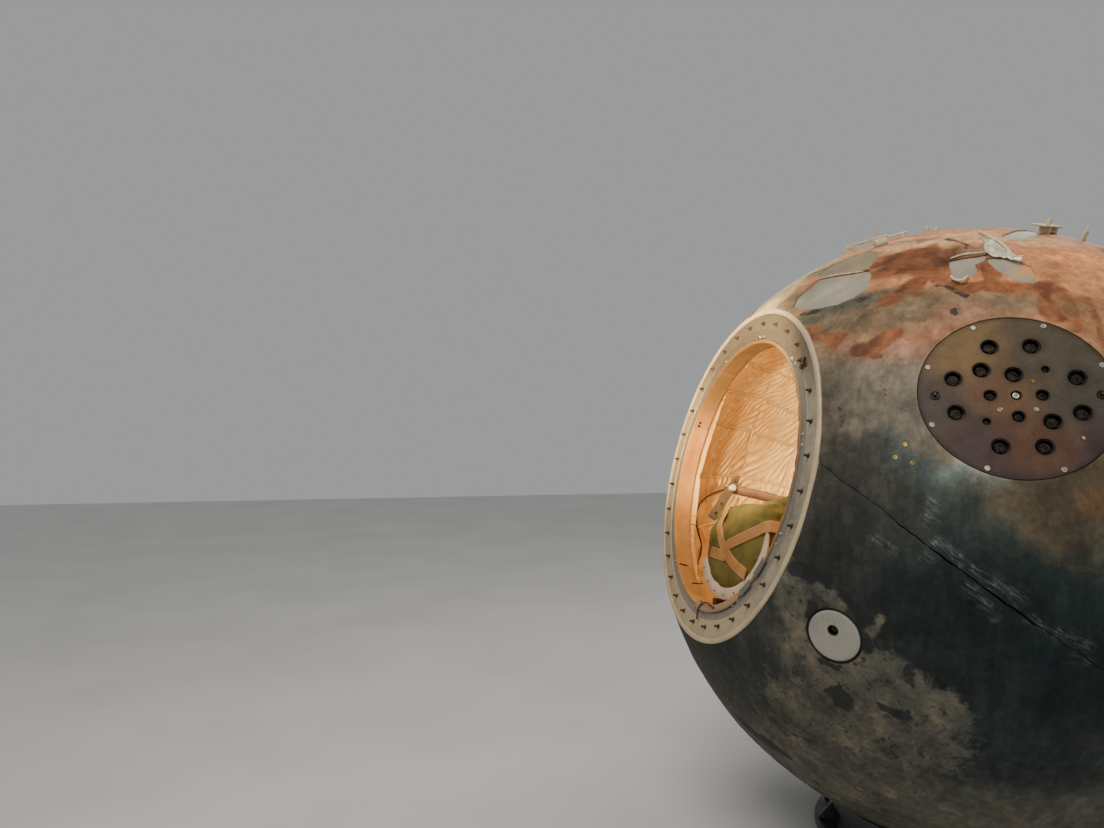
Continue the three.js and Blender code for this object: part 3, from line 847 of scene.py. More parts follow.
def lip_look():
    """Cloth of the lip: tan with painted shade darkening it at the top, peach low on the left."""
    look = Look("lip_cloth", roughness=0.85, Specular_IOR_Level=0.15)
    cloud = look.noise(9.0, 6, 0.62, 0.4)
    color = look.shades(
        cloud, (0.3, rgb(160, 108, 54)), (0.5, rgb(178, 124, 64)), (0.7, rgb(196, 144, 84))
    )
    # Painted shade: the lip is painted darker towards its top.
    height = look.plus(look.axis(2), look.times(cloud, 0.2))
    color = look.mix(look.between(height, 1.64, 1.86, 0.0, 0.92), color, rgb(106, 76, 44))
    color = look.mix(look.between(look.axis(0), 0.10, 0.34, 0.0, 0.8), color, rgb(118, 102, 82))
    color = look.mix(look.times(look.attribute("seam"), 0.6), color, rgb(120, 80, 48))
    grime = look.between(look.noise(34.0, 6, 0.72, 0.5), 0.56, 0.72)
    color = look.mix(look.times(grime, 0.45), color, rgb(140, 98, 62))
    look.raised(look.noise(60.0, 4, 0.55), 0.0010, 0.6)
    look.raised(look.noise(700.0, 2), 0.0002, 0.5)
    return look.done(color)


def plate_look():
    """Heat-stained steel: tan at the upper left, brown in the middle, purple-brown low left."""
    look = Look("burnt_plate", roughness=0.5, Specular_IOR_Level=0.2)
    tone = look.attribute("tone", color=True)
    cloud = look.noise(16.0, 6, 0.62, 0.4)
    fine = look.noise(130.0, 5, 0.7)
    color = look.mix(
        0.7, tone, look.shades(cloud, (0.3, (0.72, 0.72, 0.74)), (0.7, (1.25, 1.22, 1.18))), "MULTIPLY"
    )
    color = look.mix(0.6, color, look.shades(fine, (0.35, grey(0.8)), (0.65, grey(1.15))), "MULTIPLY")
    look.raised(cloud, 0.0006, 0.5).raised(fine, 0.0003, 0.5)
    return look.done(color, look.between(cloud, 0.3, 0.7, 0.34, 0.56))


def glass_look(name):
    look = Look(name, roughness=0.04, Transmission_Weight=0.9, IOR=1.46)
    look.raised(look.noise(18.0, 3), 0.0003, 0.3)
    return look.done(rgb(196, 206, 200), look.between(look.noise(50.0, 6, 0.7), 0.55, 0.7, 0.03, 0.35))


def floor_look():
    look = Look("studio_floor", roughness=0.7)
    cloud = look.noise(1.2, 4, 0.5)
    color = look.shades(cloud, (0.35, rgb(206, 205, 202)), (0.65, rgb(214, 213, 210)))
    return look.raised(look.noise(90.0, 3), 0.0003, 0.3).done(color)


looks = {
    "skin": skin_look(),
    "exposed": exposed_look(),
    "flange": flange_look(),
    "rim": paint_look("rim_paint", rgb(186, 166, 132), rgb(146, 130, 104), rgb(112, 92, 66), 0.45, 1.6),
    "stud": metal_look("dark_stud", rgb(88, 74, 58), rgb(48, 39, 31), 0.45, 4.0, 0.5),
    "clamp": paint_look("lip_clamp", rgb(118, 110, 98), rgb(88, 82, 74), rgb(82, 72, 60), 0.45, 3.0, 0.3),
    "crown": paint_look("crown_paint", rgb(196, 178, 146), rgb(128, 104, 76), rgb(104, 84, 60), 0.55, 3.0),
    "seat_paint": paint_look(
        "seat_paint", rgb(208, 184, 152), rgb(164, 144, 118), rgb(130, 110, 86), 0.5, 1.6
    ),
    "hull": metal_look("hull_alloy", rgb(118, 116, 110), rgb(70, 66, 62), 0.5),
    "steel": metal_look("dark_steel", rgb(92, 86, 78), rgb(36, 34, 33), 0.38, 4.0),
    "bright": metal_look("bright_screw", rgb(214, 208, 192), rgb(150, 142, 122), 0.28, 6.0),
    "brass": metal_look("brass_screw", rgb(196, 168, 104), rgb(130, 104, 58), 0.32, 6.0),
    "socket": metal_look("socket_steel", rgb(60, 56, 52), rgb(22, 21, 21), 0.34, 5.0),
    "plate": plate_look(),
    "port": paint_look("port_alloy", rgb(150, 146, 134), rgb(112, 108, 98), rgb(108, 100, 84), 0.6, 2.0, 0.1),
    "lining": lining_look(),
    "lip": lip_look(),
    "olive": fabric_look("olive_canvas", rgb(108, 94, 46), rgb(80, 70, 34), rgb(126, 110, 58)),
    "webbing": fabric_look("tan_webbing", rgb(176, 124, 72), rgb(140, 94, 52), rgb(192, 142, 88), 1100.0),
    "tube": paint_look(
        "seat_tube_paint", rgb(112, 82, 58), rgb(82, 60, 42), rgb(66, 46, 34), 0.42, 2.0, 0.15
    ),
    "strut": paint_look(
        "seat_strut_paint", rgb(84, 68, 44), rgb(62, 50, 34), rgb(54, 42, 30), 0.42, 2.0, 0.2
    ),
    "rubber": paint_look("cradle_rubber", rgb(30, 30, 30), rgb(48, 48, 47), rgb(70, 66, 60), 0.8, 2.0),
    "cradle": paint_look("cradle_paint", rgb(44, 47, 50), rgb(104, 102, 98), rgb(72, 68, 62), 0.42, 1.5),
    "sheath": paint_look("cable_sheath", rgb(66, 50, 40), rgb(96, 78, 62), rgb(48, 40, 34), 0.55, 6.0),
    "seal": paint_look("lip_seal", rgb(160, 126, 92), rgb(128, 100, 72), rgb(110, 84, 60), 0.7, 3.0),
    "piping": fabric_look("seam_piping", rgb(234, 198, 144), rgb(206, 164, 110), rgb(244, 216, 168), 1400.0),
    "canvas_pad": fabric_look("pad_canvas", rgb(98, 86, 48), rgb(74, 66, 38), rgb(116, 104, 62)),
    "foil": metal_look("torn_foil", rgb(216, 218, 192), rgb(140, 138, 112), 0.36, 4.0, 0.3),
    "curl": paint_look("curled_layer", rgb(206, 194, 160), rgb(128, 112, 84), rgb(150, 130, 96), 0.5, 4.0),
    "glass": glass_look("window_glass"),
    "floor": floor_look(),
}


# Skin of the heat shield
# Broad tone by height, from the bottom (-1) to the top (1), sRGB. Its warm salmon towards the top is partly
# the shell's colour and partly painted warm light.
TONE_AT = {
    -1.0: (96, 92, 80), -0.55: (70, 70, 64), -0.15: (46, 50, 48), 0.2: (80, 78, 68), 0.55: (128, 106, 84),
    0.8: (178, 128, 88), 1.0: (202, 144, 100),
}
# Tone blobs on the side that the photograph shows. Each row: pixel x and y of the middle,
# half width and half height in metres, turn in degrees, strength, sRGB colour.
TONES = [
    (1070, 262, 0.60, 0.30, 0, 1.0, (204, 138, 92)),
    (1004, 236, 0.42, 0.10, 0, 0.9, (206, 160, 118)),
    (1094, 326, 0.26, 0.16, -10, 0.9, (158, 114, 80)),
    (776, 296, 0.13, 0.30, 0, 1.0, (204, 184, 142)),
    (812, 268, 0.13, 0.22, 0, 0.9, (200, 178, 136)),
    (786, 306, 0.07, 0.10, 20, 0.9, (106, 100, 82)),
    (838, 264, 0.14, 0.05, 20, 0.9, (116, 112, 92)),
    (893, 244, 0.20, 0.035, 8, 0.8, (132, 122, 98)),
    (915, 262, 0.30, 0.12, 10, 1.0, (124, 84, 60)),
    (975, 250, 0.10, 0.05, 0, 0.7, (150, 120, 90)),
    (980, 300, 0.30, 0.045, -4, 0.9, (110, 94, 72)),
    (960, 312, 0.20, 0.05, 0, 0.9, (106, 92, 72)),
    (930, 326, 0.16, 0.07, 20, 1.0, (156, 112, 86)),
    (898, 350, 0.14, 0.06, 0, 0.8, (146, 108, 84)),
    (906, 300, 0.14, 0.06, 20, 0.9, (112, 96, 74)),
    (858, 322, 0.26, 0.06, 6, 0.9, (102, 90, 70)),
    (822, 312, 0.18, 0.05, 22, 1.0, (92, 86, 70)),
    (868, 300, 0.14, 0.03, 20, 0.9, (92, 88, 74)),
    (848, 384, 0.30, 0.14, 0, 1.0, (108, 97, 80)),
    (872, 402, 0.24, 0.12, 0, 0.9, (112, 103, 90)),
    (830, 424, 0.12, 0.20, 0, 0.9, (84, 76, 66)),
    (902, 430, 0.14, 0.12, 0, 0.8, (104, 99, 86)),
    (880, 474, 0.20, 0.08, 0, 1.0, (70, 70, 62)),
    (952, 492, 0.20, 0.09, -25, 1.0, (84, 96, 90)),
    (985, 472, 0.075, 0.022, -30, 1.0, (158, 164, 152)),
    (970, 484, 0.08, 0.035, -30, 0.9, (112, 122, 114)),
    (1004, 508, 0.14, 0.06, -20, 0.9, (68, 78, 72)),
    (1040, 496, 0.10, 0.05, 0, 0.9, (86, 80, 66)),
    (1080, 508, 0.20, 0.13, 0, 1.0, (78, 70, 55)),
    (1096, 505, 0.05, 0.04, 0, 0.5, (112, 80, 54)),
    (1078, 573, 0.11, 0.016, -14, 1.0, (122, 104, 74)),
    (858, 530, 0.22, 0.22, 0, 1.0, (60, 59, 54)),
    (850, 578, 0.18, 0.09, 0, 0.9, (48, 49, 46)),
    (930, 568, 0.28, 0.14, -30, 1.0, (56, 57, 53)),
    # The blue-green tint of these dark blobs is painted cool light on the lower shell.
    (1012, 560, 0.22, 0.10, -30, 1.0, (38, 46, 44)),
    (1040, 650, 0.44, 0.22, -20, 1.0, (27, 36, 37)),
    (1090, 604, 0.24, 0.08, 0, 0.9, (32, 41, 40)),
    (955, 690, 0.24, 0.18, -20, 0.9, (40, 46, 45)),
    (1010, 760, 0.30, 0.14, 0, 0.9, (38, 44, 44)),
]
# Layers over the tone, as strokes of photograph pixels. Each row: layer, half width in metres,
# strength, pixels along the stroke's middle.
STROKES = [
    ("rust", 0.052, 1.0, [(878, 262), (896, 256), (920, 252), (942, 252), (954, 262)]),
    ("rust", 0.045, 1.0, [(884, 272), (905, 268), (930, 268), (944, 274)]),
    ("rust", 0.024, 1.0, [(918, 280), (906, 290), (894, 297), (886, 302)]),
    ("rust", 0.020, 0.9, [(926, 278), (918, 292)]),
    ("rust", 0.024, 1.0, [(804, 330), (818, 334), (836, 334)]),
    ("rust", 0.028, 1.0, [(857, 345), (870, 343), (884, 336), (892, 331)]),
    ("rust", 0.016, 1.0, [(868, 347), (878, 351)]),
    ("rust", 0.014, 0.9, [(826, 338), (832, 342)]),
    ("rust", 0.014, 1.0, [(938, 279), (948, 283), (960, 288)]),
    ("rust", 0.034, 1.0, [(960, 289), (980, 286), (1004, 286), (1030, 288), (1048, 288)]),
    ("rust", 0.026, 1.0, [(984, 264), (988, 274), (994, 282), (1004, 284)]),
    ("rust", 0.030, 0.8, [(1046, 288), (1054, 302), (1058, 316)]),
    ("rust", 0.024, 0.7, [(1062, 292), (1072, 298), (1084, 300)]),
    ("rust", 0.016, 0.6, [(1072, 306), (1078, 330)]),
    ("rust", 0.016, 0.6, [(1092, 300), (1098, 336)]),
    ("rust", 0.020, 0.55, [(908, 318), (922, 312), (936, 318)]),
    ("pale", 0.070, 1.0, [(792, 592), (800, 610), (808, 640)]),
    ("pale", 0.020, 1.0, [(872, 640), (879, 630), (885, 620)]),
    ("pale", 0.100, 1.0, [(800, 656), (832, 676), (872, 684), (898, 696)]),
    ("pale", 0.060, 1.0, [(880, 668), (902, 684), (920, 700), (944, 716)]),
    ("pale", 0.120, 0.8, [(790, 704), (830, 724), (880, 738), (925, 748)]),
    ("pale", 0.110, 0.6, [(830, 774), (880, 786), (915, 794)]),
    ("pale", 0.024, 0.9, [(820, 584), (834, 590), (838, 602)]),
    ("smudge", 0.020, 0.9, [(790, 574), (806, 573), (824, 574)]),
    ("smudge", 0.018, 0.9, [(838, 584), (852, 600), (864, 612), (876, 622)]),
    ("smudge", 0.014, 0.9, [(812, 598), (810, 612)]),
    ("smudge", 0.018, 0.9, [(866, 618), (868, 640), (872, 654)]),
    ("smudge", 0.014, 0.9, [(816, 660), (832, 668)]),
    ("smudge", 0.013, 0.9, [(896, 652), (912, 664), (918, 672)]),
    ("smudge", 0.020, 0.9, [(878, 704), (892, 712), (904, 716)]),
    ("smudge", 0.016, 0.8, [(906, 674), (914, 690)]),
    ("smudge", 0.020, 0.8, [(836, 690), (846, 706)]),
    ("smudge", 0.013, 0.9, [(941, 286), (950, 292), (962, 298)]),
    ("smudge", 0.014, 0.9, [(951, 311), (955, 312)]),
    ("smudge", 0.012, 0.8, [(944, 239), (954, 243), (962, 249)]),
    ("smudge", 0.016, 0.52, [(800, 312), (830, 312), (866, 300)]),
    ("smudge", 0.012, 0.6, [(884, 380), (886, 398)]),
    ("smudge", 0.016, 0.5, [(846, 398), (850, 428)]),
    ("scuff", 0.024, 1.0, [(956, 458), (976, 472), (1000, 484)]),
    ("scuff", 0.020, 0.9, [(936, 496), (930, 508), (926, 520)]),
    ("scuff", 0.014, 1.0, [(873, 537), (884, 544), (895, 552)]),
    ("scuff", 0.013, 1.0, [(934, 539), (946, 547), (957, 555)]),
    ("scuff", 0.016, 0.9, [(964, 564), (972, 568), (982, 573)]),
    ("scuff", 0.020, 1.0, [(986, 578), (1002, 586), (1020, 597)]),
    ("scuff", 0.014, 0.8, [(1032, 618), (1048, 625)]),
    ("scuff", 0.016, 0.9, [(1060, 631), (1074, 637), (1087, 644)]),
    ("scuff", 0.012, 0.9, [(926, 553), (932, 558)]),
    ("scuff", 0.015, 0.9, [(964, 586), (980, 600), (998, 618)]),
    ("scuff", 0.012, 0.7, [(1074, 652), (1088, 660)]),
    ("scuff", 0.012, 0.6, [(820, 480), (830, 484)]),
]
# The same on the far sides, by azimuth and elevation. Each row: layer, half width in metres,
# strength, places along the stroke's middle.
FAR_STROKES = [
    ("rust", 0.07, 0.9, [(104, 56), (118, 52), (132, 54)]),
    ("rust", 0.05, 0.9, [(136, 24), (146, 14), (150, 4)]),
    ("rust", 0.08, 0.9, [(-176, 60), (-160, 62), (-140, 56)]),
    ("rust", 0.06, 0.9, [(-92, 40), (-78, 46), (-64, 44)]),
    ("rust", 0.06, 0.9, [(-52, 66), (-40, 58)]),
    ("rust", 0.04, 0.8, [(-20, 50), (-8, 44)]),
    ("rust", 0.04, 0.7, [(94, 10), (100, 2)]),
    ("pale", 0.22, 0.9, [(-14, -46), (4, -44), (24, -42)]),
    ("pale", 0.20, 0.9, [(-56, -42), (-36, -38)]),
    ("pale", 0.20, 0.8, [(-104, -52), (-82, -50)]),
    ("pale", 0.18, 0.8, [(160, -50), (178, -48)]),
    ("smudge", 0.04, 0.9, [(4, -36), (16, -40)]),
    ("smudge", 0.05, 0.9, [(-40, -32), (-24, -34)]),
    ("smudge", 0.06, 0.7, [(-82, 12), (-70, 16)]),
    ("smudge", 0.05, 0.7, [(-122, 24), (-118, 4)]),
    ("scuff", 0.03, 0.9, [(100, -16), (116, -26)]),
    ("scuff", 0.03, 0.9, [(-160, 6), (-144, 0)]),
    ("scuff", 0.03, 0.9, [(160, -4), (176, -12)]),
]


LAYER_NAMES = ("rust", "pale", "smudge", "scuff")
SMALL_BLOB = 0.07
# Where the bared layer is scorched tan: pixel x and y of the middle, half width and half height.
SCORCH = (1030, 270, 0.036, 0.040)


def blob(directions, middle, half_width, half_height, turn):
    """1 in the middle of an ellipse on the sphere, a half on its edge and 0 well outside."""
    azimuth = math.degrees(math.atan2(middle[0], -middle[1]))
    elevation = math.degrees(math.asin(np.clip(middle[2], -1, 1)))
    axes = basis(azimuth, elevation, turn)
    local = directions @ axes
    reach = np.hypot(local[:, 0] * SKIN / half_width, local[:, 1] * SKIN / half_height)
    return np.where(local[:, 2] > 0, np.clip(1.5 - reach, 0, 1), 0)


def angles_of(directions):
    azimuth = np.degrees(np.arctan2(directions[:, 0], -directions[:, 1]))
    return azimuth, np.degrees(np.arcsin(np.clip(directions[:, 2], -1, 1)))


def direction_of(azimuth, elevation):
    return basis(azimuth, elevation)[:, 2]


def stroke(directions, places, half_width):
    """1 along a line on the sphere, a half at its half width and 0 well outside."""
    near = np.full(len(directions), 9.0)
    for start, end in zip(places, places[1:]):
        run = end - start
        share = np.clip((directions - start) @ run / (run @ run), 0, 1)
        near = np.minimum(near, np.linalg.norm(directions - start - share[:, None] * run, axis=1))
    return np.clip(1.5 - near * SKIN / half_width, 0, 1)


def warped(directions, size):
    """The directions pushed about by noise, so that what is drawn on them gets ragged."""
    shift = np.column_stack([
        noise.layers(directions, 5.0, 3) + 0.45 * noise.layers(directions[:, [1, 2, 0]], 19.0, 3)
        for noise in (noise_a, noise_b, noise_c)
    ])
    moved = directions + size * shift
    return moved / np.linalg.norm(moved, axis=1)[:, None]


def skin_tones(directions):
    """Broad colour of the skin at each direction, linear RGB."""
    up = directions[:, 2] + 0.22 * noise_a.layers(directions, 1.7, 4)
    table = np.array([rgb(*color) for color in TONE_AT.values()])
    tone = np.column_stack([np.interp(up, list(TONE_AT), table[:, k]) for k in range(3)])
    tone = tone * (1 + 0.22 * noise_b.layers(directions, 3.1, 4))[:, None]
    broadly, slightly = warped(directions, 0.045), warped(directions, 0.014)
    for px, py, width, height, turn, strength, color in TONES:
        moved = broadly if min(width, height) > SMALL_BLOB else slightly
        share = blob(moved, photo_on_sphere(px, py), width, height, turn)
        share = strength * smooth(0.0, 1.0, share)
        tone = tone * (1 - share[:, None]) + np.array(rgb(*color)) * share[:, None]
    return tone


def skin_layer(name, directions):
    moved = warped(directions, 0.010 if name == "scuff" else 0.026)
    value = np.zeros(len(directions))
    for rows, direction in ((STROKES, photo_on_sphere), (FAR_STROKES, direction_of)):
        for layer, half_width, strength, places in rows:
            if layer == name:
                line = np.array([direction(*place) for place in places])
                value = np.maximum(value, strength * stroke(moved, line, half_width))
    return value


def skin_height(directions):
    """How far the charred surface lies above or below its sphere."""
    broad = noise_a.layers(directions, 2.4, 3) * 0.0022
    middle = noise_b.layers(directions, 8.0, 4) * 0.0016
    pitted = np.clip(skin_layer("pale", directions), 0, 1) * noise_c.layers(directions, 26.0, 4) * 0.0016
    flaked = (
        -0.0016
        * smooth(0.4, 0.6, skin_layer("rust", directions) + 0.25 * noise_c.layers(directions, 14.0, 4))
    )
    return broad + middle + pitted + flaked - 0.001


def paint_skin(obj):
    """Stores the skin's tones and layers on the mesh."""
    points = vertices_of(obj.data) - CENTRE
    reach = np.linalg.norm(points, axis=1)
    directions = points / reach[:, None]
    values = {name: skin_layer(name, directions) for name in LAYER_NAMES}
    values["wall"] = smooth(0.010, 0.018, SKIN - reach)
    px, py, width, height = SCORCH
    values["scorch"] = smooth(0.2, 0.8, blob(directions, photo_on_sphere(px, py), width, height, 0))
    store(obj, "tone", skin_tones(directions))
    for name, value in values.items():
        store(obj, name, value)


def round_grid(count):
    """Square grid mapped evenly onto the unit hemisphere about +Z."""
    line = np.linspace(-1, 1, count + 1)
    a, b = np.meshgrid(line, line, indexing="ij")
    wide = np.abs(a) > np.abs(b)
    with np.errstate(divide="ignore", invalid="ignore"):
        angle = np.where(wide, math.pi / 4 * b / a, math.pi / 2 - math.pi / 4 * a / b)
    radius = np.where(wide, a, b)
    angle[np.isnan(angle)] = 0
    spread = np.sqrt(np.clip(2 - radius**2, 0, None))
    x, y = radius * np.cos(angle) * spread, radius * np.sin(angle) * spread
    return np.stack([x, y, 1 - radius**2], axis=-1).reshape(-1, 3)


def seam_line(directions):
    """Where the crack runs beside its plane, and half its width, in metres."""
    flat = directions - np.outer(directions @ SEAM_NORMAL, SEAM_NORMAL)
    flat /= np.maximum(np.linalg.norm(flat, axis=1), 1e-6)[:, None]
    azimuth = angles_of(flat)[0]
    shown = smooth(-10, 20, azimuth) * smooth(128, 98, azimuth)
    wander = 0.026 * shown + 0.004 * noise_a.layers(flat, 3.0, 3) + 0.0042 * noise_b.layers(flat, 20.0, 4)
    width = 0.0009 + 0.0014 * np.clip(1.3 * noise_c.layers(flat, 6.0, 6) + 0.4, 0, 1.2)
    return wander, width


SHELL_GRID = 262


def half_shell(name, side):
    """Half of the charred shell, above (1) or below (-1) the crack."""
    axes = basis_along(side * SEAM_NORMAL)
    directions = round_grid(SHELL_GRID) @ axes.T
    wander, width = seam_line(directions)
    rise = directions @ SEAM_NORMAL * side
    shift = (side * wander + width) / SKIN * np.exp(-rise / 0.05)
    directions = directions + np.outer(shift, side * SEAM_NORMAL)
    directions /= np.linalg.norm(directions, axis=1)[:, None]
    worn = np.exp(-(rise * SKIN) / 0.006) * (0.002 + 0.001 * noise_b.layers(directions, 30.0, 3))
    height = SKIN + skin_height(directions) - worn
    vertices = CENTRE + directions * height[:, None]
    edge = grid_edge(SHELL_GRID + 1, SHELL_GRID + 1)
    middle = len(vertices)
    vertices = np.vstack([vertices, CENTRE + side * SEAM_NORMAL * 0.002])
    faces = outward(vertices, quads(SHELL_GRID + 1, SHELL_GRID + 1, close_columns=False))
    first = faces[0]
    forward = first.index(1) == (first.index(0) + 1) % 4
    for k, a in enumerate(edge):
        b = edge[(k + 1) % len(edge)]
        faces.append([b, a, middle] if forward else [a, b, middle])
    obj = raw_object(name, vertices, faces)
    obj.data.materials.append(looks["skin"])
    obj.data.materials.append(looks["exposed"])
    return obj


# Places where the char has peeled off, as photograph pixels of their outline, and their depth.
PATCHES = [
    ([(793, 306), (797, 297), (808, 287), (819, 278), (845, 273.5), (869, 269.5), (871, 275), (868, 284),
      (863, 291), (853, 298), (838, 304), (818, 308), (800, 309.5)], 0.008),
    ([(816, 279), (822, 271), (834, 263), (850, 256), (864, 252), (874, 251), (878, 256), (873, 262),
      (869, 268), (845, 272), (822, 277)], 0.004),
    ([(949, 261), (962, 258), (976, 256), (987, 254), (985, 260), (976, 264), (977, 269), (974, 276),
      (968, 278), (960, 280), (952, 277), (949, 269)], 0.006),
    ([(986, 259), (994, 257), (1008, 258), (1020, 261), (1031, 266), (1036, 275), (1035, 283),
      (1022, 281), (1008, 276), (996, 269), (989, 263)], 0.005),
    ([(1001, 236), (1012, 231), (1028, 230), (1044, 233), (1040, 237), (1024, 238), (1010, 239)], 0.005),
]
# The same on the far sides: azimuth, elevation, half width and half height in metres, depth.
FAR_PATCHES = [
    (-62, 52, 0.10, 0.055, 0.005),
    (128, 44, 0.12, 0.06, 0.005),
    (-140, 6, 0.09, 0.05, 0.004),
]


RAGGED_SIZE, RAGGED_STEP = 0.004, 0.012


def ragged(outline, seed):
    """Closed outline of directions with short uneven bits in its edge."""
    dense = []
    for k, a in enumerate(outline):
        b = outline[(k + 1) % len(outline)]
        pieces = max(1, int(np.linalg.norm(b - a) * SKIN / RAGGED_STEP))
        dense += [a + (b - a) * t for t in np.linspace(0, 1, pieces, endpoint=False)]
    dense = np.array(dense)
    wobble = np.column_stack([noise.layers(dense + seed, 30.0, 3) for noise in (noise_a, noise_b, noise_c)])
    dense = dense + wobble * RAGGED_SIZE / SKIN
    return dense / np.linalg.norm(dense, axis=1)[:, None]


def patch_outlines():
    for seed, (pixels, depth) in enumerate(PATCHES):
        yield ragged([photo_on_sphere(*p) for p in pixels], seed), depth
    for seed, (azimuth, elevation, width, height, depth) in enumerate(FAR_PATCHES):
        axes = basis(azimuth, elevation)
        ring = []
        for angle in np.linspace(0, 2 * math.pi, 11, endpoint=False):
            reach = 1 + 0.25 * math.sin(3 * angle + seed)
            x, y = width * reach * math.cos(angle), height * reach * math.sin(angle)
            point = axes @ np.array([x, y, SKIN])
            ring.append(point / np.linalg.norm(point))
        yield ragged(ring, seed + 5), depth


def patch_cutter(outline, depth):
    """Radial prism of the outline, cut off below by a ball, so that its floor is round."""
    count = len(outline)
    vertices = np.vstack([CENTRE + outline * 1.06, CENTRE + outline * 1.22])
    faces = [[k, (k + 1) % count, count + (k + 1) % count, count + k] for k in range(count)]
    faces += [list(range(count))[::-1], list(range(count, 2 * count))]
    prism = raw_object("patch", vertices, outward(vertices - CENTRE, faces))
    triangulate(prism)
    ball = ball_object(SKIN - depth, 6)
    prism.data.materials.append(looks["skin"])
    ball.data.materials.append(looks["exposed"])
    return cut(prism, [ball])


def hole_cutters():
    made = [
        cylinder_object(HATCH, HATCH_OUTER + 0.001, 0.5, 1.3, 240),
        cylinder_object(PLATE, PLATE_RADIUS + 0.0015, PLATE_FACE - 0.0253, 1.3),
        cylinder_object(PORT, PORT_RADIUS + PORT_GAP, PORT_FACE - 0.0443, 1.3),
    ]
    for azimuth, elevation, radius in COVERS.values():
        made.append(cylinder_object(basis(azimuth, elevation), radius + 0.002, 0.9, 1.3))
    for azimuth, elevation in WINDOWS.values():
        made.append(cylinder_object(basis(azimuth, elevation), WINDOW_OUTER + 0.001, 0.9, 1.3, 96))
    return made


def add_skin():
    for side, name, node in ((1, "skin_upper", "heat_shield_upper"), (-1, "skin_lower", "heat_shield_lower")):
        obj = half_shell(name, side)
        cutters = [ball_object(SKIN_INNER, 5), *hole_cutters()]
        cutters += [patch_cutter(outline, depth) for outline, depth in patch_outlines()]
        cut(obj, cutters)
        paint_skin(obj)
        finish_mesh(obj, [], "capsule", 32.0, "charred_shield")
        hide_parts(node)


COVER_INNER = SKIN_INNER + 0.002


def add_covers():
    """Round charred covers flush with the skin, with a worn edge."""
    for name, (azimuth, elevation, radius) in COVERS.items():
        axes = basis(azimuth, elevation)
        steps = np.r_[np.linspace(0.02, 0.97, 40), 0.985, 0.995, 1.0] * radius
        angles = np.linspace(0, 2 * math.pi, 200, endpoint=False)

        def dome(steps, radius):
            """Points on the sphere of the radius, ring by ring."""
            x, y = steps[:, None] * np.cos(angles), steps[:, None] * np.sin(angles)
            return np.stack([x, y, np.sqrt(radius**2 - x**2 - y**2)], axis=-1).reshape(-1, 3)

        directions = dome(steps, SKIN) / SKIN @ axes.T
        edge = np.repeat(np.clip((steps / radius - 0.97) / 0.03, 0, 1) ** 2, len(angles)) * 0.004
        outer = CENTRE + directions * (SKIN + skin_height(directions) - edge)[:, None]
        inner_steps = np.array([1.0, 0.5, 0.02]) * radius
        inner = put(axes, dome(inner_steps, COVER_INNER))
        rows = len(steps) + len(inner_steps)
        vertices = np.vstack([outer, inner])
        faces = quads(rows, len(angles)) + two_caps(rows, len(angles))
        obj = raw_object(name + "_skin", vertices, outward(vertices - CENTRE, faces))
        paint_skin(obj)
        finish_mesh(obj, [looks["skin"]], "capsule", 40.0, "charred_shield")
        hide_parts(name)


# Hatch ring: frame, flange with studs and clamping screws, cloth-bound lip
STUDS, STUD_PHASE, STUD_CIRCLE, STUD_HEIGHT, STUD_RADIUS = 32, 9.25, 0.572, 0.017, 0.0044
SCREW_PAIRS, PAIR_PHASE, PAIR_CIRCLE, PAIR_HALF = 10, 15.6, 0.522, 2.0
LATCH_ANGLES = (44.1, 46.2)
LIP_THICK, LIP_LOW, LIP_STRIP_CIRCLE, LIP_SEGMENTS = 0.015, 0.896, 0.507, 420
# Seams across the lip and snaps in its bore, as photograph pixels, and the snaps' level.
LIP_SEAMS = ((700, 433), (722, 370), (702, 604), (790, 385), (792, 470), (752, 606))
LIP_SNAPS, SNAP_LEVEL = ((699, 421), (699, 426), (704, 590)), 0.945


def nut_arrays(axes, origin, width, height, rod, rod_height):
    """Hexagon nut on a washer with a rod end."""
    washer = [(0, -0.001), (width * 0.72, -0.001), (width * 0.72, 0.0012), (0, 0.0012)]
    nut = [
        (0, 0.001), (width * 0.56, 0.001), (width * 0.56, height * 0.85), (width * 0.48, height), (0, height)
    ]
    top = height + rod_height
    end = [(0, 0), (rod, 0), (rod, top - rod * 0.4), (rod * 0.7, top), (0, top)]
    shapes = ((washer, 20), (nut, 6), (end, 12))
    return gathered([closed_lathe(profile, axes, segments, origin) for profile, segments in shapes])


def screw_arrays(axes, origin, radius, height, turn):
    """Low round head with a slot across it."""
    low = -0.001
    slot_half, slot_floor = radius * 0.14, height * 0.45
    c, s = math.cos(turn), math.sin(turn)
    angles = np.linspace(0, 2 * math.pi, 24, endpoint=False)
    outline = [(radius * math.cos(angle), radius * math.sin(angle)) for angle in angles]
    slot_end = math.sqrt(radius**2 - slot_half**2)
    parts = []
    for sign in (-1, 1):
        half = [(x, sign * max(slot_half, sign * y)) for x, y in outline if sign * y > 0]
        half.sort(key=lambda p: math.atan2(sign * (p[1] - sign * slot_half), p[0]))
        ring = np.array([(-slot_end, sign * slot_half), *half[::-1], (slot_end, sign * slot_half)])
        turned = np.column_stack([ring[:, 0] * c - ring[:, 1] * s, ring[:, 0] * s + ring[:, 1] * c])
        count = len(ring)
        base = np.column_stack([turned, np.full(count, low)])
        edge = np.column_stack([turned, np.full(count, height * 0.7)])
        crown = np.column_stack([turned * 0.86, np.full(count, height)])
        vertices = put(axes, np.vstack([base, edge, crown]), origin)
        parts.append((vertices, outward(vertices - origin, quads(3, count) + two_caps(3, count))))
    floor = [(0, low), (radius * 0.96, low), (radius * 0.96, slot_floor), (0, slot_floor)]
    parts.append(closed_lathe(floor, axes, 20, origin))
    return gathered(parts)


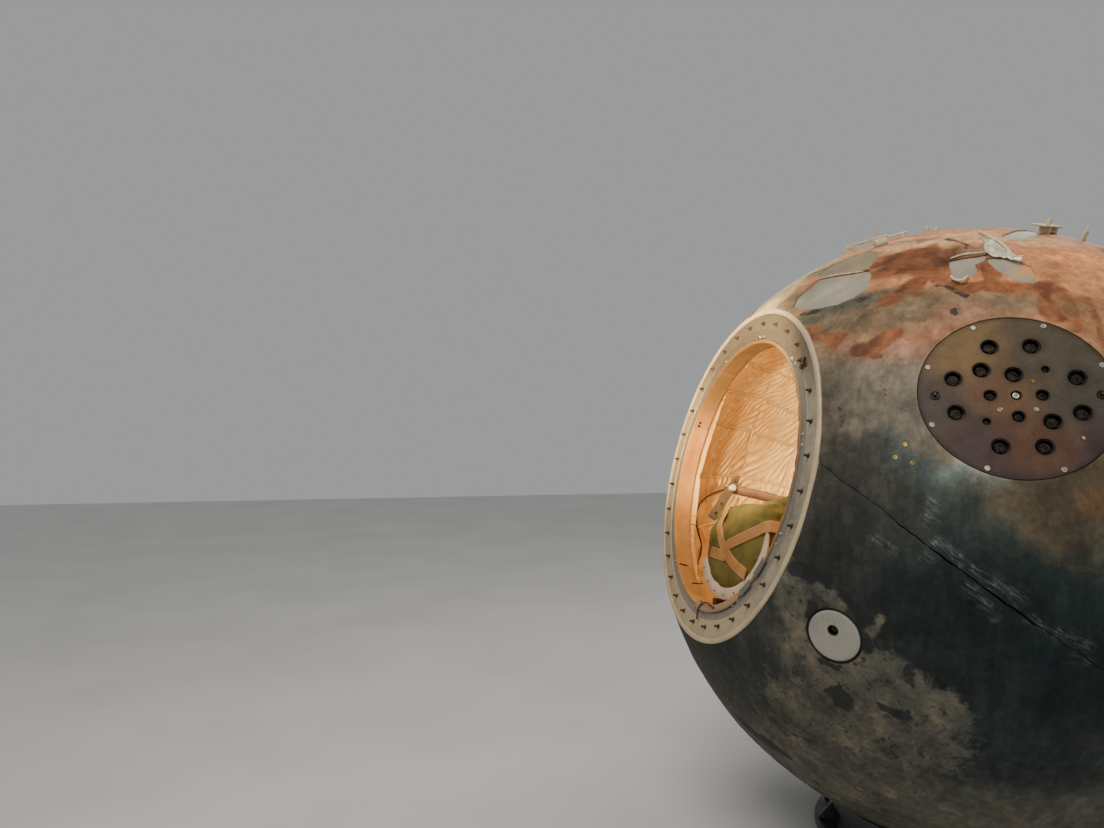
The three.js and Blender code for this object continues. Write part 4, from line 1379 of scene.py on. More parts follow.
def add_hatch():
    bore = HATCH_CLEAR + LIP_THICK
    rim = HATCH_OUTER - 0.020
    face = FLANGE_FACE
    frame_profile = [
        (bore + 0.0003, 0.933), (0.565, 0.903), (HATCH_OUTER, 0.860), (HATCH_OUTER, face + 0.002),
        (HATCH_OUTER - 0.004, face + 0.005), (rim + 0.003, face + 0.005), (rim, face + 0.002),
        (rim, face - 0.0063), (bore + 0.0003, face - 0.0063),
    ]
    obj = lathe("hatch_rim", frame_profile, HATCH, looks["rim"], 256, 0.0018, slot="cream_paint")
    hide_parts("hatch_frame")

    groove = 0.545
    flange_profile = [
        (bore + 0.002, face - 0.006), (rim - 0.0008, face - 0.006), (rim - 0.0008, face + 0.0005),
        (groove + 0.004, face + 0.0005), (groove + 0.003, face - 0.002), (groove, face - 0.002),
        (groove - 0.001, face - 0.0006), (bore + 0.002, face - 0.0006),
    ]
    flange = lathe(
        "hatch_flange_ring", flange_profile, HATCH, looks["flange"], 256, 0.0006, slot="flange_paint"
    )
    local = (vertices_of(flange.data) - CENTRE) @ HATCH
    store(flange, "inner", smooth(groove + 0.012, groove - 0.012, np.hypot(local[:, 0], local[:, 1])))
    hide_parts("hatch_flange")
    smooth_faces(flange, 38.0)

    studs, seats = [], []
    radius, high = STUD_RADIUS, STUD_HEIGHT
    stud = [(0, -0.002), (radius, -0.002), (radius, high - 0.002), (radius - 0.002, high), (0, high)]
    seat = [(radius, -0.001), (radius + 0.0045, -0.001), (radius + 0.0045, 0.0016), (radius, 0.0022)]
    for k in range(STUDS):
        angle = STUD_PHASE + 360 * k / STUDS
        origin = around(angle, STUD_CIRCLE, face)
        studs.append(closed_lathe(stud, turned_round(angle), 18, origin))
        seats.append(closed_lathe(seat, turned_round(angle), 24, origin))
    many("hatch_studs", studs, looks["stud"], slot="hull_alloy")
    many("hatch_stud_seats", seats, looks["stud"], slot="hull_alloy")
    pairs = []
    for k in range(SCREW_PAIRS):
        for side in (-PAIR_HALF, PAIR_HALF):
            angle = PAIR_PHASE + 360 * k / SCREW_PAIRS + side
            pairs.append(
                screw_arrays(
                    turned_round(angle), around(angle, PAIR_CIRCLE, face), 0.0062, 0.0034, 0.7 * k + side
                )
            )
    many("hatch_screws", pairs, looks["bright"], slot="hull_alloy")
    latch = []
    for angle in LATCH_ANGLES:
        vertices, faces = box_arrays((-0.020, -0.004, -0.001), (0.020, 0.004, 0.013), 0.002)
        axes = turned_round(angle) @ turned_flat(35 if angle < 45 else -35)
        latch.append((put(axes, vertices, around(angle, STUD_CIRCLE - 0.006, face)), faces))
    many("hatch_latch", latch, looks["stud"], slot="hull_alloy")
    add_lip()


def add_lip():
    """Cloth-bound inner lip: a padded band with small wrinkles across it."""
    face = FLANGE_FACE
    section = [
        (HATCH_CLEAR, LIP_LOW), (HATCH_CLEAR + LIP_THICK, LIP_LOW), (HATCH_CLEAR + 0.0148, face + 0.004),
        (HATCH_CLEAR, face + 0.004),
    ]
    profile = rounded(section, 0.0075, 5)
    # Rows close enough together for the wrinkles.
    rows = []
    for k, p in enumerate(profile):
        q = profile[(k + 1) % len(profile)]
        pieces = max(1, int(np.linalg.norm(q - p) / 0.008))
        rows += [p + (q - p) * t for t in np.linspace(0, 1, pieces, endpoint=False)]
    profile = np.array(rows)
    vertices, faces = lathe_arrays(profile, HATCH, LIP_SEGMENTS)
    local = (vertices - CENTRE) @ HATCH
    radius = np.hypot(local[:, 0], local[:, 1])
    angle = np.arctan2(local[:, 1], local[:, 0])
    wave = noise_a.layers(np.column_stack([angle * 9, local[:, 2] * 22, radius * 6]), 1.0, 3)
    fine = noise_b.layers(np.column_stack([angle * 42, local[:, 2] * 45, radius * 4]), 1.0, 3)
    swell = 0.0016 * wave + 0.0009 * fine
    seam = np.zeros(len(local))
    for px, py in LIP_SEAMS:
        at = photo_on_plane(px, py, HATCH, face)
        along = np.abs(np.angle(np.exp(1j * (angle - math.atan2(at[1], at[0]))))) * HATCH_CLEAR
        seam = np.maximum(seam, np.exp(-((along / 0.003) ** 2)))
    swell -= 0.0022 * seam
    inward = np.column_stack([np.cos(angle), np.sin(angle), np.zeros(len(angle))]) @ HATCH.T
    vertices = vertices - inward * (swell * (radius < HATCH_CLEAR + 0.012))[:, None]
    vertices = vertices + HATCH[:, 2] * (swell * (local[:, 2] > face))[:, None]
    obj = solid("hatch_lip_cloth", vertices, faces, looks["lip"], sharp=60.0, slot="quilted_lining")
    store(obj, "seam", seam)
    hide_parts("hatch_lip")
    snaps = []
    snap = [(0, -0.002), (0.0055, -0.002), (0.005, 0.0022), (0.003, 0.003), (0, 0.003)]
    for px, py in LIP_SNAPS:
        at = photo_on_plane(px, py, HATCH, SNAP_LEVEL)
        angle = math.degrees(math.atan2(at[1], at[0]))
        axes = basis_along(-turned_round(angle)[:, 0])
        snaps.append(closed_lathe(snap, axes, 16, around(angle, HATCH_CLEAR, SNAP_LEVEL)))
    many("lip_snaps", snaps, looks["steel"], slot="hull_alloy")
    for name, look_name, start, end in LIP_STRIPS:
        turns = np.radians(np.linspace(start, end, max(6, int(abs(end - start) / 1.5))))
        circle = LIP_STRIP_CIRCLE * np.cos(turns), LIP_STRIP_CIRCLE * np.sin(turns)
        path = put(HATCH, np.column_stack([*circle, np.full(len(turns), face + 0.0035)]))
        out = np.tile(HATCH[:, 2], (len(path), 1))
        vertices, faces = ribbon_arrays(path, out, 0.026, 0.0055, 11)
        solid(name, vertices, faces, looks[look_name], sharp=50.0, slot="quilted_lining")


# Strips along the bottom of the lip, by their angle round the hatch in degrees. Each row: piece,
# look, start, end.
LIP_STRIPS = [
    ("lip_seal", "seal", -93, -53),
    ("lip_clamp_low", "clamp", -51, -43),
    ("lip_clamp_high", "clamp", -39, -30),
]


# Connector plate: sockets, contacts, screws, studs and the pin in the middle
SOCKET_SIZES = {"big": 0.025, "medium": 0.018, "small": 0.011}
SOCKETS = [
    (0.066, 0, "medium"), (0.066, 90, "big"), (0.066, 180, "medium"), (0.066, 270, "medium"),
    (0.116, 45, "small"), (0.116, 135, "big"), (0.116, 225, "small"), (0.116, 315, "big"),
]
SOCKETS += [(0.167, quarter + side * 19, "big") for quarter in (0, 90, 180, 270) for side in (-1, 1)]
SOCKET_FLOOR, PIN_HOLE, PLATE_STUD_X = -0.0185, 0.016, 0.210
# Heat tints, by the place of their middle and their size in shares of the plate's radius, sRGB.
PLATE_TINTS = [
    ((-0.45, 0.55), 0.55, (112, 90, 60)),
    ((0.55, 0.50), 0.66, (74, 68, 55)),
    ((0.75, -0.10), 0.45, (68, 62, 54)),
    ((-0.20, -0.02), 0.40, (94, 70, 50)),
    ((-0.85, -0.10), 0.40, (72, 63, 57)),
    ((-0.45, -0.75), 0.50, (68, 54, 52)),
    ((0.25, -0.88), 0.45, (70, 52, 48)),
    ((0.85, -0.60), 0.36, (60, 46, 46)),
    ((0.15, -0.55), 0.34, (84, 60, 44)),
]
# Screws on the plate, each row: radius of its circle, angle, its own radius, height and turn.
PLATE_SCREWS = [(0.242, 22.5 + 45 * k, 0.0078, 0.003, 0.9 * k) for k in range(8)]
PLATE_SCREWS += [(0.064, angle, 0.0072, 0.003, 0.4 * angle) for angle in (-45, -135)]
# The brass ones: x, y, radius, height and turn.
BRASS_SCREWS = [(0.045, 0.045, 0.0068, 0.003, 0.5), (0.151, -0.130, 0.0045, 0.0012, 0.2)]


def socket_places():
    for ring, angle, size in SOCKETS:
        turn = math.radians(angle)
        yield ring * math.cos(turn), ring * math.sin(turn), SOCKET_SIZES[size]


def drilled(name, arrays, look_name, slot, sharp, cutters):
    """A closed piece with holes, whose inside has the look of a socket."""
    obj = raw_object(name, *arrays)
    for look in (looks[look_name], looks["socket"]):
        obj.data.materials.append(look)
    for cutter in cutters:
        cutter.data.materials.append(looks["socket"])
    return finish_mesh(cut(obj, cutters), [], "capsule", sharp, slot)


def plate_tones(local):
    """Heat tints across the plate, by place on its face."""
    x, y = local[:, 0] / PLATE_RADIUS, local[:, 1] / PLATE_RADIUS
    wander = 0.25 * noise_a.layers(local, 7.0, 4)
    tone = np.tile(np.array(rgb(84, 68, 54)), (len(local), 1))
    for (cx, cy), size, color in PLATE_TINTS:
        share = smooth(1.35, 0.35, np.hypot(x - cx, y - cy) / size + wander)
        tone = tone * (1 - share[:, None]) + np.array(rgb(*color)) * share[:, None]
    stain = np.zeros(len(local))
    for sx, sy, size in socket_places():
        near = np.hypot(local[:, 0] - sx, local[:, 1] - sy) - size
        stain = np.maximum(stain, 0.55 * np.exp(-(np.clip(near, 0, None) / 0.006)))
    stain = np.maximum(stain, 0.6 * smooth(0.93, 1.0, np.hypot(x, y)))
    return tone * (1 - 0.6 * stain)[:, None]


def add_connector_plate():
    low, face, radius = PLATE_FACE - 0.025, PLATE_FACE, PLATE_RADIUS
    rings = np.linspace(0.006, radius - 0.003, 46)
    profile = [
        (0, low), (radius - 0.001, low), (radius, low + 0.002), (radius, face - 0.0025),
        (radius - 0.0015, face),
    ]
    profile += [(r, face) for r in rings[::-1]] + [(0, face)]

    def on_face(x, y):
        return put(PLATE, (x, y, face))

    holes = list(socket_places()) + [(0, 0, PIN_HOLE)]
    cutters = [cylinder_object(PLATE, size, -0.019, 0.01, 40, on_face(x, y)) for x, y, size in holes]
    plate = drilled(
        "connector_face", closed_lathe(profile, PLATE, 220), "plate", "burnt_plate", 32.0, cutters
    )
    store(plate, "tone", plate_tones((vertices_of(plate.data) - CENTRE) @ PLATE))
    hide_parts("connector_plate")

    collars, contacts = [], []
    contact = [(0, -0.0105), (0.0014, -0.0105), (0.0014, -0.0055), (0.0008, -0.005), (0, -0.005)]
    for x, y, size in socket_places():
        origin = on_face(x, y)
        inner, outer = size * 0.86, size - 0.0003
        ring = [(inner, SOCKET_FLOOR), (outer, SOCKET_FLOOR), (outer, -0.0022), (inner, -0.0022)]
        collars.append(lathe_arrays(rounded(ring, 0.0008, 2), PLATE, 32, origin))
        inner = size * 0.62
        boss = [
            (0, SOCKET_FLOOR), (inner, SOCKET_FLOOR), (inner, -0.011), (inner * 0.92, -0.010), (0, -0.010)
        ]
        collars.append(lathe_arrays(boss, PLATE, 28, origin))
        for across, along in spread_round(7 if size > 0.015 else 4, inner * 0.62):
            contacts.append(lathe_arrays(contact, PLATE, 8, on_face(x + across, y + along)))
    many("socket_collars", collars, looks["socket"], slot="burnt_plate")
    many("socket_contacts", contacts, looks["stud"], slot="burnt_plate")

    bottom = SOCKET_FLOOR
    pin = [(0, bottom), (0.009, bottom), (0.009, -0.001), (0.0045, -0.001), (0.0045, -0.008), (0, -0.008)]
    ring = [(0.0128, bottom), (0.0157, bottom), (0.0157, -0.0006), (0.0128, -0.0006)]
    socket = [(0.0095, -0.001), (0.0135, -0.001), (0.0135, 0.0035), (0.0095, 0.0035)]
    stud = [(0, -0.001), (0.0052, -0.001), (0.0052, 0.012), (0.003, 0.0145), (0, 0.0145)]

    def turned_piece(name, profile, soft, look_name, segments, x=0.0):
        smoothed = rounded(profile, soft, 2, closed=profile[0][0] > 0)
        lathe(name, smoothed, PLATE, looks[look_name], segments, origin=on_face(x, 0), slot="burnt_plate")

    turned_piece("centre_pin", pin, 0.0008, "bright", 32)
    turned_piece("pin_ring", ring, 0.0006, "steel", 36)
    screws = []
    for circle, angle, radius, height, turn in PLATE_SCREWS:
        at = math.radians(angle)
        place = on_face(circle * math.cos(at), circle * math.sin(at))
        screws.append(screw_arrays(PLATE, place, radius, height, turn))
    many("plate_screws", screws, looks["bright"], slot="burnt_plate")
    brass = [screw_arrays(PLATE, on_face(x, y), *size) for x, y, *size in BRASS_SCREWS]
    many("plate_brass_screws", brass, looks["brass"], slot="burnt_plate")
    for number, x in ((1, -PLATE_STUD_X), (2, PLATE_STUD_X)):
        turned_piece(f"plate_stud_ring_{number}", socket, 0.0012, "socket", 32, x)
        turned_piece(f"plate_stud_{number}", stud, 0.001, "steel", 24, x)


def add_side_port():
    face, radius = PORT_FACE, PORT_RADIUS
    profile = [(0, face - 0.044), (radius, face - 0.044), (radius, face - 0.002), (radius - 0.003, face)]
    profile += [(r, face + 0.0004) for r in np.linspace(radius - 0.006, 0.006, 10)] + [(0, face + 0.0004)]
    origin = put(PORT, (0, 0.018, face))
    hole = cylinder_object(PORT, 0.017, -0.020, 0.01, 40, origin)
    plug = drilled("side_port_face", closed_lathe(profile, PORT, 96), "port", "port_alloy", 35.0, [hole])
    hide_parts("side_port_plug")
    floor = -0.0195
    collar = rounded([(0.0135, floor), (0.0168, floor), (0.0168, -0.0015), (0.0135, -0.0015)], 0.0007, 2)
    lathe("side_port_collar", collar, PORT, looks["steel"], 32, origin=origin, slot="port_alloy")
    core = rounded([(0, floor), (0.010, floor), (0.010, -0.008), (0, -0.008)], 0.0015, 2, closed=False)
    lathe("side_port_core", core, PORT, looks["socket"], 28, origin=origin, slot="port_alloy")
    inner, outer = radius + 0.0008, radius + PORT_GAP
    seal = [(inner, face - 0.04), (outer, face - 0.04), (outer, face - 0.006), (inner, face - 0.009)]
    lathe("side_port_seal", rounded(seal, 0.001, 2), PORT, looks["rubber"], 96, slot="cradle_rubber")


# Cable on the lining, in the hatch frame, from its upper to its lower clip
CABLE_RADIUS = 0.004
CABLE_ROUTE = np.array([
    (-806, -60, 617), (-742, -86, 689), (-655, -123, 768), (-570, -162, 824), (-530, -198, 843),
    (-534, -234, 832), (-564, -283, 797), (-580, -329, 768), (-545, -369, 777), (-460, -392, 819),
]) / 1000
CLIP_RADIUS = 0.011
CLIP_DEPTH = 0.016


def centripetal(points, count):
    """Centripetal Catmull-Rom curve through the points, evenly spaced."""
    padded = np.vstack([2 * points[0] - points[1], points, 2 * points[-1] - points[-2]])
    dense = []
    for i in range(1, len(padded) - 2):
        p = padded[i - 1 : i + 3]
        gaps = np.sqrt(np.linalg.norm(np.diff(p, axis=0), axis=1))
        t0, t1, t2, t3 = np.r_[0, np.cumsum(gaps)]
        for t in np.linspace(t1, t2, 30, endpoint=False):
            a1 = (t1 - t) / (t1 - t0) * p[0] + (t - t0) / (t1 - t0) * p[1]
            a2 = (t2 - t) / (t2 - t1) * p[1] + (t - t1) / (t2 - t1) * p[2]
            a3 = (t3 - t) / (t3 - t2) * p[2] + (t - t2) / (t3 - t2) * p[3]
            b1 = (t2 - t) / (t2 - t0) * a1 + (t - t0) / (t2 - t0) * a2
            b2 = (t3 - t) / (t3 - t1) * a2 + (t - t1) / (t3 - t1) * a3
            dense.append((t2 - t) / (t2 - t1) * b1 + (t - t1) / (t2 - t1) * b2)
    return evenly(np.array(dense + [points[-1]]), count)


# Cabin lining: quilted cloth with piped seams
PANELS = 20
PANEL_ANGLE = 360 / PANELS
FIRST_SEAM = -42.0
ROW_SEAMS = np.array([-82, -68, -54, -41, -29, -17, -5, 8, 21, 30, 38.5, 48, 57, 68, 80.0])
SEAM_RADIUS = LINING + 0.003
LINING_OUTER = 1.0612
PIPING_RADIUS, PIPING_SIDES, PIPING_GAP = 0.0034, 6, 0.012
# Steps of the lining's grid in degrees: fine behind the hatch, where its folds show.
FINE_AZIMUTH, FINE_ELEVATION, COARSE = 0.30, 0.31, 2.6
BELLY, FOLD_HEIGHT, LAP_HEIGHT = 0.012, 0.015, 0.016
# Edge of the cloth that laps over its neighbour beside the hatch: elevation and azimuth.
LAP_EDGE = np.array(
    [(-14, -56), (-6, -53), (4, -49), (7.5, -45), (12, -41.5), (14.5, -38), (20, -33), (30, -28)]
)


def row_tilt(azimuth):
    turn = np.sin(np.radians(azimuth + 60))
    return np.where(turn < 0, 14.9, 4.0) * turn


def upright_wander(elevation, k):
    return 0.7 * np.sin(elevation * 0.11 + k * 1.7) - 2.2 * np.exp(-(((elevation - 22) / 12) ** 2))


def row_wander(azimuth, j):
    return 0.5 * np.sin(np.radians(azimuth) * 5 + j * 2.1)


def beside_cable(directions):
    """Distance from the cable that lies on the lining, in metres, past its own half width."""
    path = centripetal(CABLE_ROUTE, 60) @ HATCH.T
    path /= np.linalg.norm(path, axis=1)[:, None]
    nearest = (directions @ path.T).max(axis=1)
    return np.maximum(0, np.arccos(np.clip(nearest, -1, 1)) * LINING - 0.012)


def lining_shape(directions):
    """How far the cloth stands in from its seams, how near the nearest seam is, and its folds."""
    azimuth, elevation = angles_of(directions)
    metre = math.radians(1) * LINING
    k = np.round((azimuth - FIRST_SEAM) / PANEL_ANGLE)
    beside = azimuth - FIRST_SEAM - k * PANEL_ANGLE - upright_wander(elevation, k)
    beside = -beside * np.cos(np.radians(elevation)) * metre
    level = elevation - row_tilt(azimuth)
    rows = ROW_SEAMS[None, :] + row_wander(azimuth[:, None], np.arange(len(ROW_SEAMS))[None, :])
    j = np.abs(level[:, None] - rows).argmin(axis=1)
    above = (level - rows[np.arange(len(level)), j]) * metre
    upright, row = np.abs(beside), np.abs(above)
    belly = BELLY * (1 - np.exp(-upright / 0.040)) * (1 - np.exp(-row / 0.040))
    drift = 0.9 * noise_a.layers(directions, 3.5, 3)
    patchy = smooth(-0.4, 0.4, noise_b.layers(directions, 7.0, 3))
    along = elevation * metre
    across = -azimuth * np.cos(np.radians(elevation)) * metre
    flat_folds = ridged((along - 0.50 * across) / 0.046 + drift) * np.exp(-upright / 0.11)
    steep_folds = ridged((across - 0.55 * along) / 0.040 + 1.3 * drift) * np.exp(-row / 0.07)
    folds = np.maximum(patchy * flat_folds, (1.1 - 0.8 * patchy) * steep_folds)
    folds *= 1 - np.exp(-np.minimum(upright, row) / 0.008)
    loose = 0.0050 * noise_c.layers(directions, 7.0, 3)
    lap = np.interp(elevation, LAP_EDGE[:, 0], LAP_EDGE[:, 1])
    near_hatch = (
        smooth(0.0, 0.7, azimuth - lap) * (azimuth < 10) * smooth(-16, -8, elevation)
        * smooth(34, 24, elevation)
    )
    folds *= 1 - 0.75 * near_hatch
    height = belly + FOLD_HEIGHT * folds + loose + LAP_HEIGHT * near_hatch
    height = np.minimum(np.maximum(height, 0) + 0.002, 0.008 + 0.5 * beside_cable(directions))
    seam = np.exp(-np.minimum(upright, row) / 0.005) * (1 - near_hatch)
    return height, seam, folds


def ridged(turns):
    """Sharp folds one turn apart, 1 on each and 0 between them."""
    return 1 - np.abs(np.sin(math.pi * turns))


def lined_with(low, high, fine_low, fine_high, fine):
    """Coarse steps from low to high, with fine ones within them."""
    within = np.arange(fine_low, fine_high, fine)
    return np.r_[np.arange(low, fine_low, COARSE), within, np.arange(fine_high, high, COARSE)]


def in_an_opening(direction):
    """Whether a seam there would run into the hatch or a window."""
    local = direction @ HATCH * LINING
    if local[2] > 0 and np.hypot(local[0], local[1]) < HATCH_CLEAR + LIP_THICK + PIPING_GAP:
        return True
    for azimuth, elevation in WINDOWS.values():
        away = math.acos(np.clip(direction @ direction_of(azimuth, elevation), -1, 1)) * LINING
        if away < WINDOW_OUTER + PIPING_GAP:
            return True
    return False


def add_lining():
    az = np.radians(lined_with(-180, 180, -100, -26, FINE_AZIMUTH))
    el = np.radians(lined_with(-86, 88, -16, 52, FINE_ELEVATION))
    grid_az, grid_el = np.meshgrid(az, el, indexing="xy")
    directions = np.stack(
        [np.sin(grid_az) * np.cos(grid_el), -np.cos(grid_az) * np.cos(grid_el), np.sin(grid_el)], axis=-1
    ).reshape(-1, 3)
    directions = np.vstack([directions, [0, 0, -1], [0, 0, 1]])
    height = lining_shape(directions)[0]
    vertices = CENTRE + directions * (SEAM_RADIUS - height)[:, None]
    rows, columns = len(el), len(az)
    faces = quads(rows, columns)
    bottom, top = rows * columns, rows * columns + 1
    for j in range(columns):
        k = (j + 1) % columns
        faces.append([bottom, k, j])
        faces.append([top, (rows - 1) * columns + j, (rows - 1) * columns + k])
    inner = raw_object("inside", vertices, outward(vertices - CENTRE, faces))
    lining = ball_object(LINING_OUTER, 5)
    lining.name = "cabin_quilting"
    bore = HATCH_CLEAR + 0.0155
    opening = [(0, 0.5), (bore, 0.5), (bore, 0.932), (0.5655, 0.902), (0.629, 0.859), (0.629, 1.3), (0, 1.3)]
    cutters = [inner, raw_object("opening", *closed_lathe(opening, HATCH, 160))]
    for azimuth, elevation in WINDOWS.values():
        cutters.append(cylinder_object(basis(azimuth, elevation), WINDOW_OUTER + 0.0005, 0.9, 1.3, 96))
    cut(lining, cutters)
    points = vertices_of(lining.data) - CENTRE
    height, seam, folds = lining_shape(points / np.linalg.norm(points, axis=1)[:, None])
    store(lining, "seam", seam)
    store(lining, "fold", folds)
    lining.data.materials.clear()
    finish_mesh(lining, [looks["lining"]], "capsule", 50.0, "quilted_lining")
    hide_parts("cabin_lining_upper", "cabin_lining_lower")

    lines = []
    for k in range(PANELS):
        heights = np.arange(-78, 82, 1.6)
        lines.append(
            [(FIRST_SEAM + k * PANEL_ANGLE + upright_wander(h, wrapped_seam(k)), h) for h in heights]
        )
    for j, row in enumerate(ROW_SEAMS):
        turns = np.arange(-180, 181, 1.6)
        lines.append(
            [(a, min(87, row + row_tilt(a) + row_wander(a, j))) for a in turns if row + row_tilt(a) < 86]
        )
    runs = []
    for line in lines:
        runs.append([])
        for azimuth, elevation in line:
            direction = direction_of(azimuth, elevation)
            if abs(elevation) > 84 or in_an_opening(direction):
                runs.append([])
            else:
                lapped = lining_shape(direction[None, :])[0][0]
                runs[-1].append(CENTRE + direction * (SEAM_RADIUS - lapped - 0.0022))
    tubes = [tube_arrays(run, PIPING_RADIUS, PIPING_SIDES) for run in runs if len(run) > 2]
    many("lining_piping", tubes, looks["piping"], slot="quilted_lining", sharp=80.0)


def wrapped_seam(k):
    """The seam's number as the azimuth counts it from -180 to 180 degrees."""
    azimuth = FIRST_SEAM + k * PANEL_ANGLE
    azimuth = (azimuth + 180) % 360 - 180
    return round((azimuth - FIRST_SEAM) / PANEL_ANGLE)


def add_cable():
    path = put(HATCH, centripetal(CABLE_ROUTE, 90))
    curve = bpy.data.curves.new("lining_cable", "CURVE")
    curve.dimensions = "3D"
    curve.bevel_depth = CABLE_RADIUS
    curve.bevel_resolution = 3
    curve.use_fill_caps = True
    spline = curve.splines.new("POLY")
    spline.points.add(len(path) - 1)
    spline.points.foreach_set("co", np.column_stack([path, np.ones(len(path))]).ravel())
    spline.use_smooth = True
    cable = linked("lining_cable", curve)
    curve.materials.append(looks["sheath"])
    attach(cable, "capsule")
    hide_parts("cabin_cable")
    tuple(path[0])
    for name, end, following in (("upper", 0, 1), ("lower", -1, -2)):
        along = CABLE_ROUTE[following] - CABLE_ROUTE[end]
        centre = CABLE_ROUTE[end] - along / np.linalg.norm(along) * (CLIP_RADIUS + 0.0003)
        middle = np.linalg.norm(centre)
        axes = basis_along(HATCH @ centre)
        low, high = middle - CLIP_DEPTH / 2, LINING + 0.012
        inset = 0.002
        profile = [
            (0, low), (CLIP_RADIUS - inset, low), (CLIP_RADIUS, low + inset), (CLIP_RADIUS, high), (0, high)
        ]
        clip = lathe(f"cable_clip_{name}_body", profile, axes, looks["tube"], 28, slot="seat_tube_paint")
        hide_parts(f"cable_clip_{name}")


# Seat: metal trough, pads and packed parachute
TROUGH_HALF, TROUGH_WALL = 0.250, 0.012
TROUGH_SIDE_TOP, TROUGH_ROUND_FROM, TROUGH_BOTTOM = -0.130, -0.230, -0.430
SEAT_TOP_END, SEAT_LOW_END = 0.915, -0.2147
TROUGH_RIM, RIM_TAPER = 0.035, 0.4
PACK_FACE = 0.897


def trough_outline(half, bottom, side_top):
    """The trough's inner outline across, from the top of its left wall to that of its right one."""
    points = [(-half, side_top), (-half, (side_top + TROUGH_ROUND_FROM) / 2)]
    for t in np.linspace(math.pi, 2 * math.pi, 40):
        points.append((half * math.cos(t), TROUGH_ROUND_FROM + (TROUGH_ROUND_FROM - bottom) * math.sin(t)))
    points += [(half, (side_top + TROUGH_ROUND_FROM) / 2), (half, side_top)]
    return np.array(points)


def add_seat_shell():
    line = trough_outline(TROUGH_HALF - TROUGH_WALL, TROUGH_BOTTOM + TROUGH_WALL, TROUGH_SIDE_TOP)
    along = np.gradient(line, axis=0)
    beside = np.column_stack([along[:, 1], -along[:, 0]])
    beside /= np.linalg.norm(beside, axis=1)[:, None]
    beside *= np.sign(((line - line.mean(axis=0)) * beside).sum(axis=1))[:, None]
    beside[[0, -1], 1] = 0
    beside /= np.linalg.norm(beside, axis=1)[:, None]
    rim = TROUGH_WALL + TROUGH_RIM
    flare = np.clip(
        (TROUGH_ROUND_FROM - line[:, 1]) / (RIM_TAPER * (TROUGH_ROUND_FROM - TROUGH_BOTTOM)), 0, 1
    )
    top, low = SEAT_TOP_END, SEAT_LOW_END
    lengthwise = np.linspace(low, top - 0.02, 36)
    section = [(0.0, z) for z in lengthwise]
    section += [(0.001, top - 0.008), (0.004, top - 0.002), (0.010, top - 0.0003)]
    section += [
        (rim - 0.004, top), (rim - 0.001, top - 0.002), (rim, top - 0.005), (rim - 0.002, top - 0.0095)
    ]
    section += [(TROUGH_WALL + 0.006, top - 0.010), (TROUGH_WALL + 0.001, top - 0.015)]
    section += [(TROUGH_WALL, z) for z in lengthwise[::-1]]
    section = np.array(section)
    local = np.empty((len(line), len(section), 3))
    reach = (
        np.minimum(section[None, :, 0], TROUGH_WALL)
        + flare[:, None] * np.maximum(section[None, :, 0] - TROUGH_WALL, 0)
    )
    local[:, :, :2] = line[:, None, :] + beside[:, None, :] * reach[:, :, None]
    left, right = line[:, 0] < 0, line[:, 0] > 0
    back = 0.034 * (smooth(-0.235, -0.205, line[:, 1]) * right + smooth(-0.310, -0.235, line[:, 1]) * left)
    back += 0.036 * smooth(-0.215, -0.175, line[:, 1]) * right
    local[:, :, 2] = section[None, :, 1] - back[:, None] * smooth(0.74, 0.90, section[None, :, 1])
    flat = local.reshape(-1, 3)
    dents = 0.0012 * noise_a.layers(flat, 9.0, 3)
    flat = (
        flat
        + np.repeat(np.column_stack([beside, np.zeros(len(line))]), len(section), axis=0) * dents[:, None]
    )
    count = len(section)
    faces = quads(len(line), count) + [end[::-1] for end in two_caps(len(line), count)]
    vertices = put(SEAT, flat)
    shell = raw_object("seat_trough", vertices, outward(vertices, faces))
    triangulate(shell, count)
    finish_mesh(shell, [looks["seat_paint"]], "seat", 40.0, "seat_paint")
    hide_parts("seat_shell")
    shoes = []
    for x in (-0.150, 0.150):
        for z in (-0.150, 0.350):
            vertices, faces = box_arrays((x - 0.026, -0.4494, z), (x + 0.026, -0.400, z + 0.070), 0.003)
            shoes.append((put(SEAT, vertices), faces))
    many("seat_shoes", shoes, looks["steel"], body="seat", slot="seat_tube_paint")
    rivet = [(0, -0.001), (0.0042, -0.001), (0.0036, 0.0012), (0.002, 0.0019), (0, 0.0021)]
    rivets = []
    for k in np.flatnonzero(flare == 1)[::4]:
        place = line[k] + beside[k] * (TROUGH_WALL + 0.017)
        origin = put(SEAT, (place[0], place[1], top))
        rivets.append(lathe_arrays(rivet, SEAT, 12, origin))
    many("seat_rim_rivets", rivets, looks["steel"], body="seat", slot="seat_paint")


# Webbing over the pack: photograph pixels along the middle of each strap.
STRAPS = {
    "pack_strap_upright": [
        (723, 500), (721.5, 508), (721, 520), (721, 528), (723, 540), (728, 552), (736, 565), (747, 575)
    ],
    "pack_strap_across": [(729, 546), (736, 542.5), (746, 537.5), (757, 532), (768, 526), (780, 519.5)],
    "pack_strap_stub": [(712, 551.5), (719, 554), (728, 556.5)],
}
STRAP_WIDTH, STRAP_THICK = 0.042, 0.0028
# Padded pieces: voxel, how far the cloth may swell, and how far the shape shrinks before that.
PACK_CLOTH = (0.0085, 0.007, 0.004)
PAD_CLOTH = (0.013, 0.009, 0.006)
CLOTH_PRESSURE, CLOTH_FRAMES = 4.0, 20


def strap_places(pixels):
    return np.array([photo_on_plane(px, py, SEAT, PACK_FACE + 0.018) for px, py in pixels])


